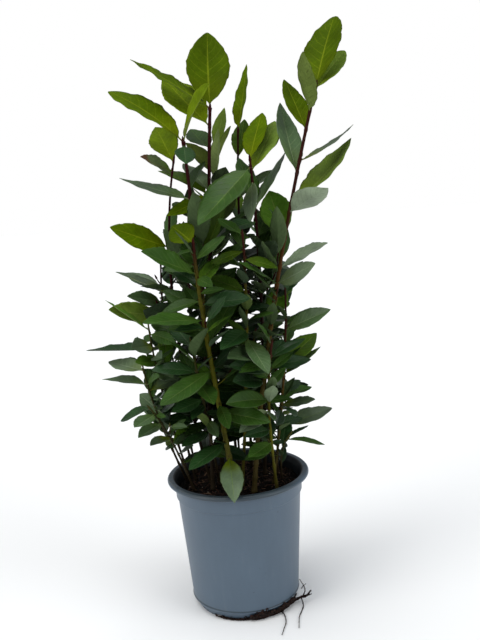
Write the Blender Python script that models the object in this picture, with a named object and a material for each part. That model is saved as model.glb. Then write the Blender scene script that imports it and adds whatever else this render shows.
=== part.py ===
"""A young bay laurel in its nursery pot, in metres, +Z up.

The pot stands on the ground with its underside's middle at the origin. A clump of shoots
rises from the compost: each is a bare stem below, and a leafy shoot that carries on from the
stem's tip. Leaves follow one rule; a leaf that would touch anything else is turned or left out.
"""

import math
import random

import bpy
from mathutils import Matrix, Vector
from mathutils.bvhtree import BVHTree

# The pot, a turned thin wall with a flat underside.
pot_height = 0.170
pot_wall = 0.0016
foot_radius = 0.0625
heel_radius = 0.0690
heel_height = 0.012
shoulder_radius = 0.0786
shoulder_height = 0.144
neck_radius = 0.0806
lip_radius = 0.0904
lip_depth = 0.0060
mouth_radius = 0.0816
floor_thickness = 0.0025
ridge_height = 0.0012
pot_sides = 36
notch_count = 8
notch_width = 0.016
notch_height = 0.0045

# The compost, and the gap kept between pieces that meet.
compost_top = 0.155
gap = 0.0003

# The roots that have grown out of the drain notches: a mat that lies along the foot's chamfer
# between two headings, thin up to the third, and roots that leave it, each as (half thickness,
# places it passes).
mat_span = (-128, -24)
mat_thick_from = -88
mat_thin_girth = 0.0012
mat_girth = 0.0025
mat_swell = 0.0003
mat_steps = 18
mat_gap = 0.0005
root_sides = 5
root_thinning = 0.5
roots_out = {
    "thick": (0.0016, [(0.0571, -0.0330, 0.0022), (0.0705, -0.0330, 0.0080),
                       (0.0765, -0.0345, 0.0100), (0.0815, -0.0330, 0.0155)]),
    "riser": (0.0007, [(0.0705, -0.0335, 0.0080), (0.0740, -0.0365, 0.0180),
                       (0.0720, -0.0375, 0.0260), (0.0675, -0.0370, 0.0345)]),
    "runner_right": (0.0008, [(0.0690, -0.0335, 0.0070), (0.0700, -0.0440, 0.0012),
                              (0.0635, -0.0640, 0.0012), (0.0617, -0.0720, 0.0012),
                              (0.0594, -0.0913, 0.0012)]),
    "runner_front": (0.0008, [(0.0400, -0.0540, 0.0030), (0.0446, -0.0600, 0.0012),
                              (0.0451, -0.0764, 0.0012), (0.0415, -0.0900, 0.0012),
                              (0.0379, -0.1029, 0.0012)]),
}

# Stems.
stem_sides = 6
axis_sides = 5
flare = 1.45
flare_height = 0.014
bud_length = 0.007
bud_girth = 0.0013
bud_share = 0.72
bare_collar = 0.007

# Leaves: shares of the leaf's length, and angles in degrees.
turn_per_leaf = 137.5
leaf_spacing = 0.0185
leaf_width = 0.43
stalk_share = 0.05
stalk_girth = 0.0009
leaf_thickness = 0.012
fold = 9
blade_rings = (0.18, 0.48, 0.78)
face_lean = 40
clearance = 0.0006
leaf_root = 0.62

# A leaf that would touch something is tried again: how often, how far it is turned each time,
# how much its rise may change and the share of its length it loses.
hand_set_tries = dict(count=17, turn=5, rise=4, shorter=0.012)
rule_tries = dict(count=17, turn=22, rise=14, shorter=0.025)

# A side twig: where it leaves its shoot, its half thickness at foot and tip, and how far it reaches.
twig_share = 0.52
twig_girth = (0.0013, 0.00095)
twig_reach = 0.030
twig_climb = 0.020
twig_leaves = 4

# The space the freely placed leaves keep to: its middle, and its half widths low and high.
crown_middle = (-0.010, 0.004)
clump_middle = (-0.010, 0.022)
crown_low = (0.118, 0.112)
crown_high = (0.075, 0.085)
crown_top = 0.66
crown_waist = 0.40
crown_foot = 0.195
foot_tuck = 0.28
tuck_height = 0.06


def leaf(share, heading, rise, millimetres, lean, broad, arch=None):
    """A leaf set by hand: how far up its shoot it starts, which way it points round the Z axis
    and above the level, its length, how far its blade is rolled, its width over its length,
    and how far it arches."""
    return dict(share=share, heading=heading, rise=rise, length=millimetres / 1000,
                lean=lean, broad=broad, arch=arch)


# Each shoot: where it leaves the compost, the middle and the tip of its bow, its half
# thickness at foot and tip, the share up it where its leaves start, its longest leaf, its
# first turn, its side twigs, and the leaves set by hand. Above set_from the rule adds leaves only
# at the back of it.
shoots = {
    "front": dict(
        foot=(-0.004, -0.046), bend=(-0.026, -0.056, 0.364), tip=(-0.032, -0.065, 0.467),
        girth=(0.0034, 0.0018), clothed=0.10, longest=0.073, turn=20, twigs=1, set_from=0.55,
        placed=[
            leaf(1.00, 114, 17, 65, -36, 0.50), leaf(0.76, 226, 23, 82, -48, 0.42),
            leaf(0.70, 41, 38, 48, 24, 0.43), leaf(0.54, 224, 7, 86, -21, 0.40),
            leaf(0.48, 131, 3, 61, -54, 0.48), leaf(0.45, 50, 44, 88, 0, 0.40),
            leaf(0.36, 224, -16, 82, -15, 0.42), leaf(0.14, 229, -11, 65, -6, 0.42),
            leaf(0.10, 273, -30, 66, 0, 0.42, 26),
        ]),
    "middle_left": dict(
        foot=(-0.033, -0.022), bend=(-0.030, -0.005, 0.380), tip=(-0.036, -0.020, 0.584),
        girth=(0.0026, 0.0021), clothed=0.16, longest=0.084, turn=60, twigs=1, set_from=0.72,
        placed=[
            leaf(1.00, 152, 35, 117, -15, 0.42, 16), leaf(1.00, 301, 38, 84, 66, 0.36),
            leaf(0.99, 273, -29, 48, -9, 0.50), leaf(0.83, 157, 19, 96, -12, 0.36),
            leaf(0.77, 111, 21, 63, -3, 0.43),
        ]),
    "tallest_left": dict(
        foot=(-0.020, 0.030), bend=(-0.017, 0.020, 0.403), tip=(-0.002, 0.010, 0.624),
        girth=(0.0030, 0.0022), clothed=0.18, longest=0.089, turn=190, twigs=1, set_from=0.70,
        placed=[
            leaf(1.00, 85, 68, 99, 8, 0.54), leaf(1.00, 169, 35, 110, -15, 0.36),
            leaf(0.95, 138, 43, 96, -24, 0.52), leaf(0.89, 112, 26, 65, -12, 0.45),
            leaf(0.77, 120, 32, 71, 3, 0.42), leaf(0.76, 146, 25, 89, -9, 0.40),
            leaf(0.76, 222, -23, 65, -36, 0.45), leaf(0.58, 57, 47, 63, 24, 0.43),
        ]),
    "middle_back": dict(
        foot=(0.000, 0.050), bend=(-0.004, 0.055, 0.398), tip=(0.001, 0.050, 0.578),
        girth=(0.0022, 0.0015), clothed=0.14, longest=0.078, turn=10, twigs=0,
        placed=[
            leaf(1.00, 41, 69, 54, 9, 0.40), leaf(0.87, 271, 55, 73, 51, 0.40),
        ]),
    "middle_right": dict(
        foot=(0.020, 0.050), bend=(0.023, 0.050, 0.423), tip=(0.031, 0.045, 0.598),
        girth=(0.0022, 0.0013), clothed=0.13, longest=0.078, turn=120, twigs=1, set_from=0.75,
        placed=[
            leaf(1.00, 61, 67, 90, -33, 0.36), leaf(0.88, 68, 57, 59, -6, 0.44),
            leaf(0.68, 103, 46, 61, 21, 0.42),
        ]),
    "right": dict(
        foot=(0.035, 0.020), bend=(0.044, 0.000, 0.388), tip=(0.041, -0.010, 0.559),
        girth=(0.0025, 0.0016), clothed=0.14, longest=0.084, turn=250, twigs=1, set_from=0.72,
        placed=[
            leaf(1.00, 65, 50, 73, -9, 0.44), leaf(0.97, 221, -36, 104, -15, 0.48),
            leaf(0.95, 49, 49, 78, 3, 0.48), leaf(0.91, 261, -45, 63, 39, 0.40),
            leaf(0.82, 107, 52, 73, 18, 0.42), leaf(0.81, 45, 53, 88, -15, 0.36),
            leaf(0.76, 227, -7, 54, -30, 0.42),
        ]),
    "tallest_right": dict(
        foot=(0.018, -0.039), bend=(0.059, -0.025, 0.390), tip=(0.126, 0.000, 0.641),
        girth=(0.0033, 0.0020), clothed=0.22, longest=0.082, turn=75, twigs=0, set_from=0.44,
        placed=[
            leaf(1.00, 51, 59, 96, -3, 0.56), leaf(0.99, 38, 45, 67, 36, 0.50),
            leaf(0.94, 259, 42, 82, -48, 0.42), leaf(0.90, 116, 57, 75, 3, 0.44),
            leaf(0.83, 26, 27, 88, 0, 0.24), leaf(0.80, 104, 63, 96, 27, 0.42),
            leaf(0.73, 23, 40, 113, 9, 0.40, -14), leaf(0.71, 306, 20, 69, -30, 0.50),
            leaf(0.65, 100, 43, 82, -21, 0.48), leaf(0.58, 22, 19, 69, -42, 0.42),
            leaf(0.54, 319, 23, 59, 63, 0.45), leaf(0.54, 217, 27, 82, -33, 0.36),
            leaf(0.50, 27, 11, 61, 15, 0.42), leaf(0.45, 78, 36, 63, 12, 0.45),
        ]),
    "front_middle": dict(
        foot=(0.004, -0.016), bend=(0.021, -0.040, 0.334), tip=(0.025, -0.055, 0.472),
        girth=(0.0022, 0.0014), clothed=0.24, longest=0.073, turn=40, twigs=0, set_from=0.55,
        placed=[
            leaf(1.00, 110, 26, 46, -15, 0.42), leaf(0.58, 238, -11, 59, -21, 0.44),
            leaf(0.55, 295, -28, 67, -6, 0.42), leaf(0.44, 141, -20, 54, -36, 0.40),
            leaf(0.36, 50, 44, 50, 30, 0.45),
        ]),
    "left": dict(
        foot=(-0.035, 0.000), bend=(-0.066, 0.020, 0.381), tip=(-0.051, 0.020, 0.567),
        girth=(0.0022, 0.0014), clothed=0.16, longest=0.078, turn=330, twigs=0, set_from=0.66,
        placed=[
            leaf(0.99, 115, 43, 69, -21, 0.52), leaf(0.96, 241, 13, 65, -54, 0.42),
            leaf(0.72, 81, 51, 52, -21, 0.40), leaf(0.70, 216, 21, 82, -63, 0.43),
            leaf(0.54, 167, 26, 78, -3, 0.30),
        ]),
    "outer_left": dict(
        foot=(-0.055, 0.015), bend=(-0.078, 0.030, 0.308), tip=(-0.079, 0.035, 0.442),
        girth=(0.0018, 0.0012), clothed=0.22, longest=0.073, turn=80, twigs=0, set_from=0.66,
        placed=[
            leaf(0.85, 145, 23, 61, -18, 0.42), leaf(0.80, 224, 15, 54, -51, 0.45),
            leaf(0.73, 218, 14, 77, -48, 0.44), leaf(0.67, 271, -44, 54, -30, 0.42),
        ]),
    "lower_left": dict(
        foot=(-0.060, 0.000), bend=(-0.086, -0.010, 0.279), tip=(-0.097, -0.010, 0.372),
        girth=(0.0017, 0.0011), clothed=0.26, longest=0.069, turn=20, twigs=0, set_from=0.66,
        placed=[
            leaf(0.94, 158, 36, 69, 0, 0.36), leaf(0.83, 251, 8, 54, -51, 0.48),
            leaf(0.80, 155, -2, 94, -6, 0.30), leaf(0.71, 245, 12, 44, -48, 0.45),
        ]),
    "low_left": dict(
        foot=(-0.066, 0.012), bend=(-0.092, -0.020, 0.250), tip=(-0.106, -0.030, 0.321),
        girth=(0.0016, 0.0011), clothed=0.26, longest=0.063, turn=200, twigs=0, set_from=0.74,
        placed=[
            leaf(0.96, 137, 5, 63, -18, 0.46), leaf(0.82, 146, 1, 71, -6, 0.36),
            leaf(0.76, 55, 15, 47, 30, 0.45),
        ]),
    "skirt_left": dict(
        foot=(-0.056, -0.022), bend=(-0.078, -0.038, 0.228), tip=(-0.099, -0.052, 0.274),
        girth=(0.0015, 0.0010), clothed=0.26, longest=0.054, turn=150, twigs=0, set_from=0.45,
        placed=[
            leaf(1.00, 147, -22, 50, -30, 0.42), leaf(0.89, 246, -2, 46, -15, 0.46),
            leaf(0.74, 241, -4, 46, -15, 0.46), leaf(0.55, 244, 4, 42, -12, 0.44),
            leaf(0.49, 47, 13, 44, 24, 0.46),
        ]),
    "lower_right": dict(
        foot=(0.044, -0.018), bend=(0.065, -0.020, 0.296), tip=(0.073, -0.020, 0.398),
        girth=(0.0018, 0.0012), clothed=0.18, longest=0.067, turn=100, twigs=0, set_from=0.48,
        placed=[
            leaf(0.78, 34, 20, 44, 3, 0.30), leaf(0.75, 334, 23, 61, 51, 0.44),
            leaf(0.56, 41, 24, 65, 30, 0.44), leaf(0.50, 25, 26, 59, 0, 0.40),
        ]),
    "low_right": dict(
        foot=(0.052, 0.022), bend=(0.056, 0.012, 0.217), tip=(0.064, 0.002, 0.272),
        girth=(0.0016, 0.0011), clothed=0.30, longest=0.061, turn=250, twigs=0, set_from=0.50,
        placed=[
            leaf(0.90, 35, 3, 50, 18, 0.42), leaf(0.81, 317, 13, 54, 24, 0.42),
            leaf(0.55, 9, 11, 71, 24, 0.40),
        ]),
    "skirt_right": dict(
        foot=(0.056, -0.006), bend=(0.056, -0.020, 0.194), tip=(0.067, -0.030, 0.222),
        girth=(0.0015, 0.0010), clothed=0.30, longest=0.052, turn=0, twigs=0, set_from=0.60,
        placed=[
            leaf(0.94, 43, 6, 38, -9, 0.34), leaf(0.88, 19, -18, 52, 12, 0.32),
            leaf(0.69, 51, 40, 50, 9, 0.44),
        ]),
    "front_low": dict(
        foot=(-0.024, -0.008), bend=(-0.034, -0.040, 0.262), tip=(-0.044, -0.058, 0.352),
        girth=(0.0019, 0.0013), clothed=0.26, longest=0.071, turn=200, twigs=0,
        placed=[
            leaf(0.96, 120, 27, 52, -30, 0.45), leaf(0.70, 288, -15, 52, -3, 0.46),
            leaf(0.59, 224, -5, 48, -27, 0.45),
        ]),
    "front_right_low": dict(
        foot=(0.047, -0.036), bend=(0.043, -0.048, 0.262), tip=(0.050, -0.066, 0.345),
        girth=(0.0019, 0.0013), clothed=0.24, longest=0.069, turn=200, twigs=0,
        placed=[
            leaf(0.70, 95, 43, 50, -9, 0.44), leaf(0.49, 217, -19, 48, -36, 0.46),
            leaf(0.35, 191, 18, 48, -36, 0.46), leaf(0.28, 231, -5, 46, -21, 0.50),
        ]),
    "back_left": dict(
        foot=(-0.034, 0.052), bend=(-0.048, 0.062, 0.340), tip=(-0.040, 0.066, 0.500),
        girth=(0.0024, 0.0015), clothed=0.13, longest=0.082, turn=95, twigs=0, placed=[]),
    "back_right": dict(
        foot=(0.030, 0.060), bend=(0.052, 0.070, 0.330), tip=(0.058, 0.060, 0.470),
        girth=(0.0024, 0.0015), clothed=0.13, longest=0.082, turn=45, twigs=0, placed=[]),
    "lower_back": dict(
        foot=(0.004, 0.070), bend=(0.004, 0.084, 0.270), tip=(0.010, 0.088, 0.360),
        girth=(0.0018, 0.0012), clothed=0.14, longest=0.069, turn=160, twigs=0, placed=[]),
    "low_back_left": dict(
        foot=(-0.055, 0.042), bend=(-0.070, 0.062, 0.250), tip=(-0.078, 0.072, 0.320),
        girth=(0.0016, 0.0011), clothed=0.18, longest=0.063, turn=100, twigs=0, placed=[]),
    "low_back_right": dict(
        foot=(0.052, 0.046), bend=(0.068, 0.058, 0.250), tip=(0.078, 0.060, 0.330),
        girth=(0.0016, 0.0011), clothed=0.18, longest=0.063, turn=30, twigs=0, placed=[]),
}

# Colours, roughness.
pot_paint = ((0.112, 0.150, 0.185), 0.42)
compost_paint = ((0.018, 0.012, 0.009), 0.95)
root_paint = ((0.050, 0.028, 0.016), 0.85)
stem_paint = ((0.110, 0.070, 0.022), 0.60)
leaf_paint = ((0.030, 0.062, 0.018), 0.42)
young_leaf_paint = ((0.075, 0.120, 0.012), 0.40)


def clear_scene():
    for old in list(bpy.data.objects):
        bpy.data.objects.remove(old)


def make_material(name, paint):
    colour, roughness = paint
    material = bpy.data.materials.new(name)
    material.use_nodes = True
    shader = material.node_tree.nodes["Principled BSDF"]
    shader.inputs["Base Color"].default_value = (*colour, 1.0)
    shader.inputs["Roughness"].default_value = roughness
    shader.inputs["Metallic"].default_value = 0.0
    material.diffuse_color = (*colour, 1.0)
    return material


def make_object(name, points, faces, paint=None, collection=None):
    mesh = bpy.data.meshes.new(name)
    mesh.from_pydata([tuple(point) for point in points], [], faces)
    mesh.validate()
    made = bpy.data.objects.new(name, mesh)
    (collection or bpy.context.scene.collection).objects.link(made)
    if paint:
        mesh.materials.append(make_material(name, paint))
    return made


def smooth(made, sharp_angle=35):
    made.data.shade_smooth()
    made.data.set_sharp_from_angle(angle=math.radians(sharp_angle))


def apply_modifiers(made):
    graph = bpy.context.evaluated_depsgraph_get()
    finished = bpy.data.meshes.new_from_object(made.evaluated_get(graph))
    made.modifiers.clear()
    made.data = finished


def join(made, helpers):
    """Unites a collection's objects with this one, and removes them."""
    union = made.modifiers.new("join", "BOOLEAN")
    union.operation = "UNION"
    union.solver = "EXACT"
    union.operand_type = "COLLECTION"
    union.collection = helpers
    apply_modifiers(made)
    for helper in list(helpers.objects):
        bpy.data.objects.remove(helper)
    bpy.data.collections.remove(helpers)


def turned(profile, sides):
    """The points and faces of a closed profile of (radius, height), turned round the Z axis.
    The profile's first and last points lie on the axis."""
    rim = profile[1:-1]
    points = [Vector((0, 0, profile[0][1]))]
    for radius, height in rim:
        for side in range(sides):
            angle = 2 * math.pi * side / sides
            points.append(Vector((radius * math.cos(angle), radius * math.sin(angle), height)))
    points.append(Vector((0, 0, profile[-1][1])))
    faces = []
    last_ring = 1 + (len(rim) - 1) * sides
    for side in range(sides):
        beside = (side + 1) % sides
        faces.append((0, 1 + beside, 1 + side))
        faces.append((len(points) - 1, last_ring + side, last_ring + beside))
        for ring in range(len(rim) - 1):
            low = 1 + ring * sides
            high = low + sides
            faces.append((low + side, low + beside, high + beside, high + side))
    return points, faces


def pot_radius(height):
    """The pot's outer radius at a height above its heel."""
    share = (height - heel_height) / (shoulder_height - heel_height)
    return heel_radius + (shoulder_radius - heel_radius) * share


def box(name, size, place, heading):
    """A box turned by heading round the Z axis; place is its middle, measured before the turn."""
    corners = [Vector((x, y, z)) for x in (-0.5, 0.5) for y in (-0.5, 0.5) for z in (-0.5, 0.5)]
    points = []
    for corner in corners:
        x = corner.x * size[0] + place[0]
        y = corner.y * size[1] + place[1]
        z = corner.z * size[2] + place[2]
        points.append(Vector((x * math.cos(heading) - y * math.sin(heading),
                              x * math.sin(heading) + y * math.cos(heading), z)))
    faces = [(0, 1, 3, 2), (4, 6, 7, 5), (0, 4, 5, 1), (2, 3, 7, 6), (0, 2, 6, 4), (1, 5, 7, 3)]
    return make_object(name, points, faces)


def make_pot():
    inner_top = mouth_radius
    profile = [
        (0, 0),
        (foot_radius, 0),
        (foot_radius + 0.0030, heel_height * 0.5),
        (heel_radius - 0.0006, heel_height - 0.0006),
        (heel_radius + ridge_height, heel_height),
        (heel_radius + 0.0002, heel_height + 0.0018),
        (pot_radius(shoulder_height), shoulder_height),
        (neck_radius, shoulder_height + 0.0012),
        (neck_radius + 0.0006, pot_height - lip_depth - 0.0010),
        (lip_radius - 0.0022, pot_height - lip_depth),
        (lip_radius, pot_height - lip_depth + 0.0016),
        (lip_radius, pot_height - 0.0022),
        (lip_radius - 0.0018, pot_height),
        (inner_top + 0.0012, pot_height),
        (inner_top, pot_height - 0.0012),
        (neck_radius - pot_wall, pot_height - 0.0080),
        (pot_radius(shoulder_height) - pot_wall, shoulder_height),
        (heel_radius - pot_wall, heel_height),
        (foot_radius - pot_wall, floor_thickness),
        (0, floor_thickness),
    ]
    points, faces = turned(profile, pot_sides)
    pot = make_object("pot", points, faces, pot_paint)
    for index in range(notch_count):
        heading = 2 * math.pi * (index + 0.25) / notch_count
        cutter = box(f"notch_{index}", (0.012, notch_width, 2 * notch_height),
                     (foot_radius + 0.0020, 0, 0), heading)
        cutter.hide_render = True
        cutter.display_type = "WIRE"
        cut = pot.modifiers.new(f"notch_{index}", "BOOLEAN")
        cut.operation = "DIFFERENCE"
        cut.solver = "EXACT"
        cut.object = cutter
    apply_modifiers(pot)
    for index in range(notch_count):
        bpy.data.objects.remove(bpy.data.objects[f"notch_{index}"])
    smooth(pot)
    return pot


def make_compost():
    inside = pot_wall + gap
    notch_clear = 0.0085
    profile = [
        (0, floor_thickness + gap),
        (foot_radius - notch_clear, floor_thickness + gap),
        (foot_radius - notch_clear + 0.0005, notch_height + 0.0020),
        (heel_radius - inside - 0.0002, heel_height + 0.0010),
        (pot_radius(shoulder_height) - inside, shoulder_height),
        (pot_radius(shoulder_height) - inside + 0.0010, compost_top - 0.0030),
        (pot_radius(shoulder_height) - inside - 0.0030, compost_top),
        (0, compost_top),
    ]
    points, faces = turned(profile, pot_sides)
    compost = make_object("compost", points, faces, compost_paint)
    smooth(compost)
    return compost


def frame_along(direction):
    """Two directions square to this one and to each other, the second as upright as can be."""
    flat = Vector((0, 0, 1)).cross(direction)
    if flat.length < 1e-4:
        flat = Vector((0, 1, 0))
    flat.normalize()
    return flat, direction.cross(flat)


def tube(stations, sides, level_foot=False):
    """Points and faces of a tube through stations of (place, radius). It closes on flat ends;
    a last radius of nothing makes a point, and level_foot cuts the first end level."""
    points = []
    faces = []
    count = len(stations)
    pointed = stations[-1][1] == 0
    rings = count - 1 if pointed else count
    side_way = None
    for index in range(rings):
        place, radius = stations[index]
        ahead = stations[min(index + 1, count - 1)][0]
        behind = stations[max(index - 1, 0)][0]
        direction = (ahead - behind).normalized()
        if level_foot and index == 0:
            direction = Vector((0, 0, 1))
        if side_way is None:
            side_way = frame_along(direction)[0]
        side_way = (side_way - direction * side_way.dot(direction)).normalized()
        up_way = direction.cross(side_way)
        for side in range(sides):
            angle = 2 * math.pi * side / sides
            spoke = side_way * math.cos(angle) + up_way * math.sin(angle)
            points.append(place + spoke * radius)
    for ring in range(rings - 1):
        low = ring * sides
        for side in range(sides):
            beside = (side + 1) % sides
            faces.append((low + side, low + beside, low + sides + beside))
            faces.append((low + side, low + sides + beside, low + sides + side))
    faces.append(tuple(range(sides - 1, -1, -1)))
    last = (rings - 1) * sides
    if pointed:
        points.append(stations[-1][0])
        for side in range(sides):
            faces.append((last + side, last + (side + 1) % sides, len(points) - 1))
    else:
        faces.append(tuple(range(last, last + sides)))
    return points, faces


class Bow:
    """A curve through a foot, a bend and a tip: the bend is its middle."""

    def __init__(self, foot, bend, tip):
        self.foot = Vector(foot)
        self.tip = Vector(tip)
        self.pull = 2 * Vector(bend) - (self.foot + self.tip) / 2
        self.length = sum((self.at((step + 1) / 40) - self.at(step / 40)).length
                          for step in range(40))

    def at(self, share):
        back = 1 - share
        return (self.foot * back * back + self.pull * 2 * back * share
                + self.tip * share * share)

    def way(self, share):
        return ((self.pull - self.foot) * (1 - share) + (self.tip - self.pull) * share).normalized()


def through(places, steps):
    """Points along a smooth curve through the places, which it passes at even steps."""
    ends = [Vector(place) for place in places]
    ends = [2 * ends[0] - ends[1]] + ends + [2 * ends[-1] - ends[-2]]
    found = []
    for index in range(1, len(ends) - 2):
        before, here, there, after = ends[index - 1:index + 3]
        for step in range(steps):
            t = step / steps
            found.append(0.5 * (2 * here + (there - before) * t
                                + (2 * before - 5 * here + 4 * there - after) * t * t
                                + (3 * here - before - 3 * there + after) * t ** 3))
    return found + [ends[-2]]


def make_roots():
    """The mat swells and thins as it goes round the foot, and tapers at both ends."""
    chamfer = Vector((heel_radius - foot_radius, 0, heel_height)).normalized()
    outward = Vector((chamfer.z, 0, -chamfer.x))
    mat = []
    for step in range(mat_steps + 1):
        along = step / mat_steps
        heading = mat_span[0] + (mat_span[1] - mat_span[0]) * along
        thick = max(0.0, min(1.0, (heading - mat_thick_from) / 15))
        girth = mat_thin_girth + (mat_girth - mat_thin_girth) * thick
        girth += mat_swell * math.sin(step * 2.1)
        girth *= min(1.0, 0.4 + 4.0 * min(along, 1 - along))
        seat = Vector((foot_radius, 0, 0)) + chamfer * 2 * girth + outward * (girth + mat_gap)
        mat.append((Matrix.Rotation(math.radians(heading), 3, "Z") @ seat, girth))
    made = make_object("roots", *tube(mat, root_sides), paint=root_paint)
    helpers = bpy.data.collections.new("roots_out")
    bpy.context.scene.collection.children.link(helpers)
    for name, (girth, places) in roots_out.items():
        line = through(places, 3)
        stations = [(place, girth * (1 - root_thinning * index / len(line)))
                    for index, place in enumerate(line)]
        make_object(f"root_{name}", *tube(stations, root_sides), collection=helpers)
    join(made, helpers)
    smooth(made, 60)
    return made


def girth_at(girth, share):
    """A stem's half thickness, from its girth at the foot to that at the tip, thinning faster low
    down."""
    foot, tip = girth
    return tip + (foot - tip) * max(0.0, 1 - share) ** 1.15


def leaf_sections(start, root_girth, heading, rise, length, broad, arch, roll, grow=0.0):
    """The rings of one leaf, and its tip: three points (left, right, underneath) round the
    stalk, then four (left, top, right, underneath) round the blade. The midrib leaves at rise
    plus half the arch and bends down through the whole arch. The width follows a rounded blade
    with a pointed tip. grow thickens it all for testing."""
    turn = math.radians(heading)
    outward = Vector((math.cos(turn), math.sin(turn), 0))
    across = Vector((-math.sin(turn), math.cos(turn), 0))
    total = length * (1 + stalk_share)
    stalk = stalk_share / (1 + stalk_share)
    shares = [0.0, stalk] + [stalk + (1 - stalk) * ring for ring in blade_rings] + [1.0]
    place = start.copy()
    rings = []
    before = 0.0
    for share in shares:
        middle = (share + before) / 2
        slope = math.radians(rise + arch * (0.5 - middle))
        place = place + (outward * math.cos(slope) + Vector((0, 0, math.sin(slope)))) * (
            total * (share - before))
        before = share
        slope = math.radians(rise + arch * (0.5 - share))
        forward = outward * math.cos(slope) + Vector((0, 0, math.sin(slope)))
        upward = across.cross(forward) * -1
        lean = math.radians(roll)
        left = across * math.cos(lean) + upward * math.sin(lean)
        above = upward * math.cos(lean) - across * math.sin(lean)
        blade = (share - stalk) / (1 - stalk)
        if share == 0.0:
            half, thick, bent = root_girth, root_girth, 0.0
        elif blade <= 0.0:
            half, thick, bent = stalk_girth, stalk_girth, 0.0
        elif share >= 1.0:
            rings.append(place + forward * grow)
            continue
        else:
            half = 0.53 * broad * length * math.sin(math.pi * blade ** 0.94) ** 0.82
            thick = 0.5 * leaf_thickness * length * (1 - 0.35 * blade)
            bent = math.radians(fold)
        half += grow
        thick += grow
        if blade <= 0.0:
            rings.append([place + (left * 0.87 + above * 0.5) * half,
                          place + (left * -0.87 + above * 0.5) * half,
                          place - above * half])
            continue
        lift = above * half * math.sin(bent)
        rings.append([place + left * half * math.cos(bent) + lift,
                      place + above * thick,
                      place - left * half * math.cos(bent) + lift,
                      place - above * thick])
    return rings


def leaf_mesh(rings):
    """Points and triangles of a leaf from its rings."""
    points = []
    starts = []
    for ring in rings[:-1]:
        starts.append(len(points))
        points.extend(ring)
    points.append(rings[-1])
    faces = []
    for index in range(len(starts) - 1):
        near, far = starts[index], starts[index + 1]
        here, there = len(rings[index]), len(rings[index + 1])
        if here == 3 and there == 4:
            faces += [(near, far + 1, far), (near, near + 1, far + 1), (near + 1, far + 2, far + 1),
                      (near + 1, near + 2, far + 2), (near + 2, far + 3, far + 2),
                      (near + 2, near, far + 3), (near, far, far + 3)]
            continue
        for corner in range(here):
            beside = (corner + 1) % here
            faces.append((near + corner, far + beside, far + corner))
            faces.append((near + corner, near + beside, far + beside))
    last = starts[-1]
    for corner in range(4):
        faces.append((last + corner, last + (corner + 1) % 4, len(points) - 1))
    faces.append(tuple(reversed(range(len(rings[0])))))
    return points, faces


class Thing:
    """A placed piece, kept for testing what would touch it."""

    def __init__(self, owner, part, points, faces):
        self.owner = owner
        self.part = part
        self.low = Vector([min(point[axis] for point in points) for axis in range(3)])
        self.high = Vector([max(point[axis] for point in points) for axis in range(3)])
        self.tree = BVHTree.FromPolygons(points, faces)

    def near(self, other):
        return all(self.low[axis] <= other.high[axis] and other.low[axis] <= self.high[axis]
                   for axis in range(3))

    def touches(self, other):
        return self.near(other) and bool(self.tree.overlap(other.tree))


def outside_crown(place):
    """Whether a leaf's tip would stand out of the crown's space."""
    if place.z < crown_foot:
        return True
    climb = max(0.0, min(1.0, (place.z - crown_waist) / (crown_top - crown_waist)))
    wide = crown_low[0] + (crown_high[0] - crown_low[0]) * climb
    deep = crown_low[1] + (crown_high[1] - crown_low[1]) * climb
    across = (place.x - crown_middle[0]) / wide
    along = (place.y - crown_middle[1]) / deep
    tuck = min(1.0, 1 - foot_tuck * (1 - (place.z - crown_foot) / tuck_height))
    return place.z > crown_top or across * across + along * along > tuck * tuck


def is_clear(rings, owner, things):
    """Whether a leaf touches nothing placed before it. It grows out of its own shoot, so its
    stalk may touch its own stem's bark, and its foot its own shoot and leaves."""
    whole, unrooted, blade = [Thing(owner, "leaf", *leaf_mesh(rings[skip:])) for skip in range(3)]
    for thing in things:
        probe = whole
        if thing.owner == owner:
            probe = unrooted if thing.part == "stem" else blade
        if probe.touches(thing):
            return False
    return True


def free_leaf(owner, bow, girth, wish, by_hand, things, chance):
    """The rings of a leaf near the wished one, turned until it is clear of everything placed
    before it, or None. A leaf set by hand is only nudged. Unless it is given, the lean turns
    the leaf's upper face outwards from the middle of the clump."""
    start = bow.at(wish["share"])
    tries = hand_set_tries if by_hand else rule_tries
    arch = wish["arch"]
    if arch is None:
        arch = chance.uniform(-6, 8) if by_hand else chance.uniform(0, 18)
    wander = chance.uniform(-16, 16)
    away = Vector((start.x - clump_middle[0], start.y - clump_middle[1], 0)).normalized()
    for attempt in range(tries["count"]):
        side = (attempt + 1) // 2 * (1 if attempt % 2 else -1)
        heading = wish["heading"] + side * tries["turn"]
        spread = tries["rise"] if attempt else 0
        rise = wish["rise"] + chance.uniform(-spread, spread)
        length = wish["length"] * (1 - tries["shorter"] * attempt)
        lean = wish["lean"]
        if lean is None:
            turn = math.radians(heading)
            lean = wander - face_lean * Vector((-math.sin(turn), math.cos(turn), 0)).dot(away)
        shape = (start, leaf_root * girth, heading, rise, length, wish["broad"], arch, lean)
        rings = leaf_sections(*shape)
        if not by_hand and outside_crown(rings[-1]):
            continue
        if is_clear(leaf_sections(*shape, clearance), owner, things):
            things.append(Thing(owner, "leaf", *leaf_mesh(rings)))
            return rings
    return None


def stem_stations(bow, girth, start, end, steps):
    """Stations up a stem between two shares, with the root flare near the foot."""
    stations = []
    for step in range(steps + 1):
        share = start + (end - start) * (step / steps) ** 1.25
        place = bow.at(share)
        radius = girth_at(girth, share)
        low = max(0.0, 1 - (place.z - bow.foot.z) / flare_height)
        stations.append((place, radius * (1 + (flare - 1) * low * low)))
    return stations


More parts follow.
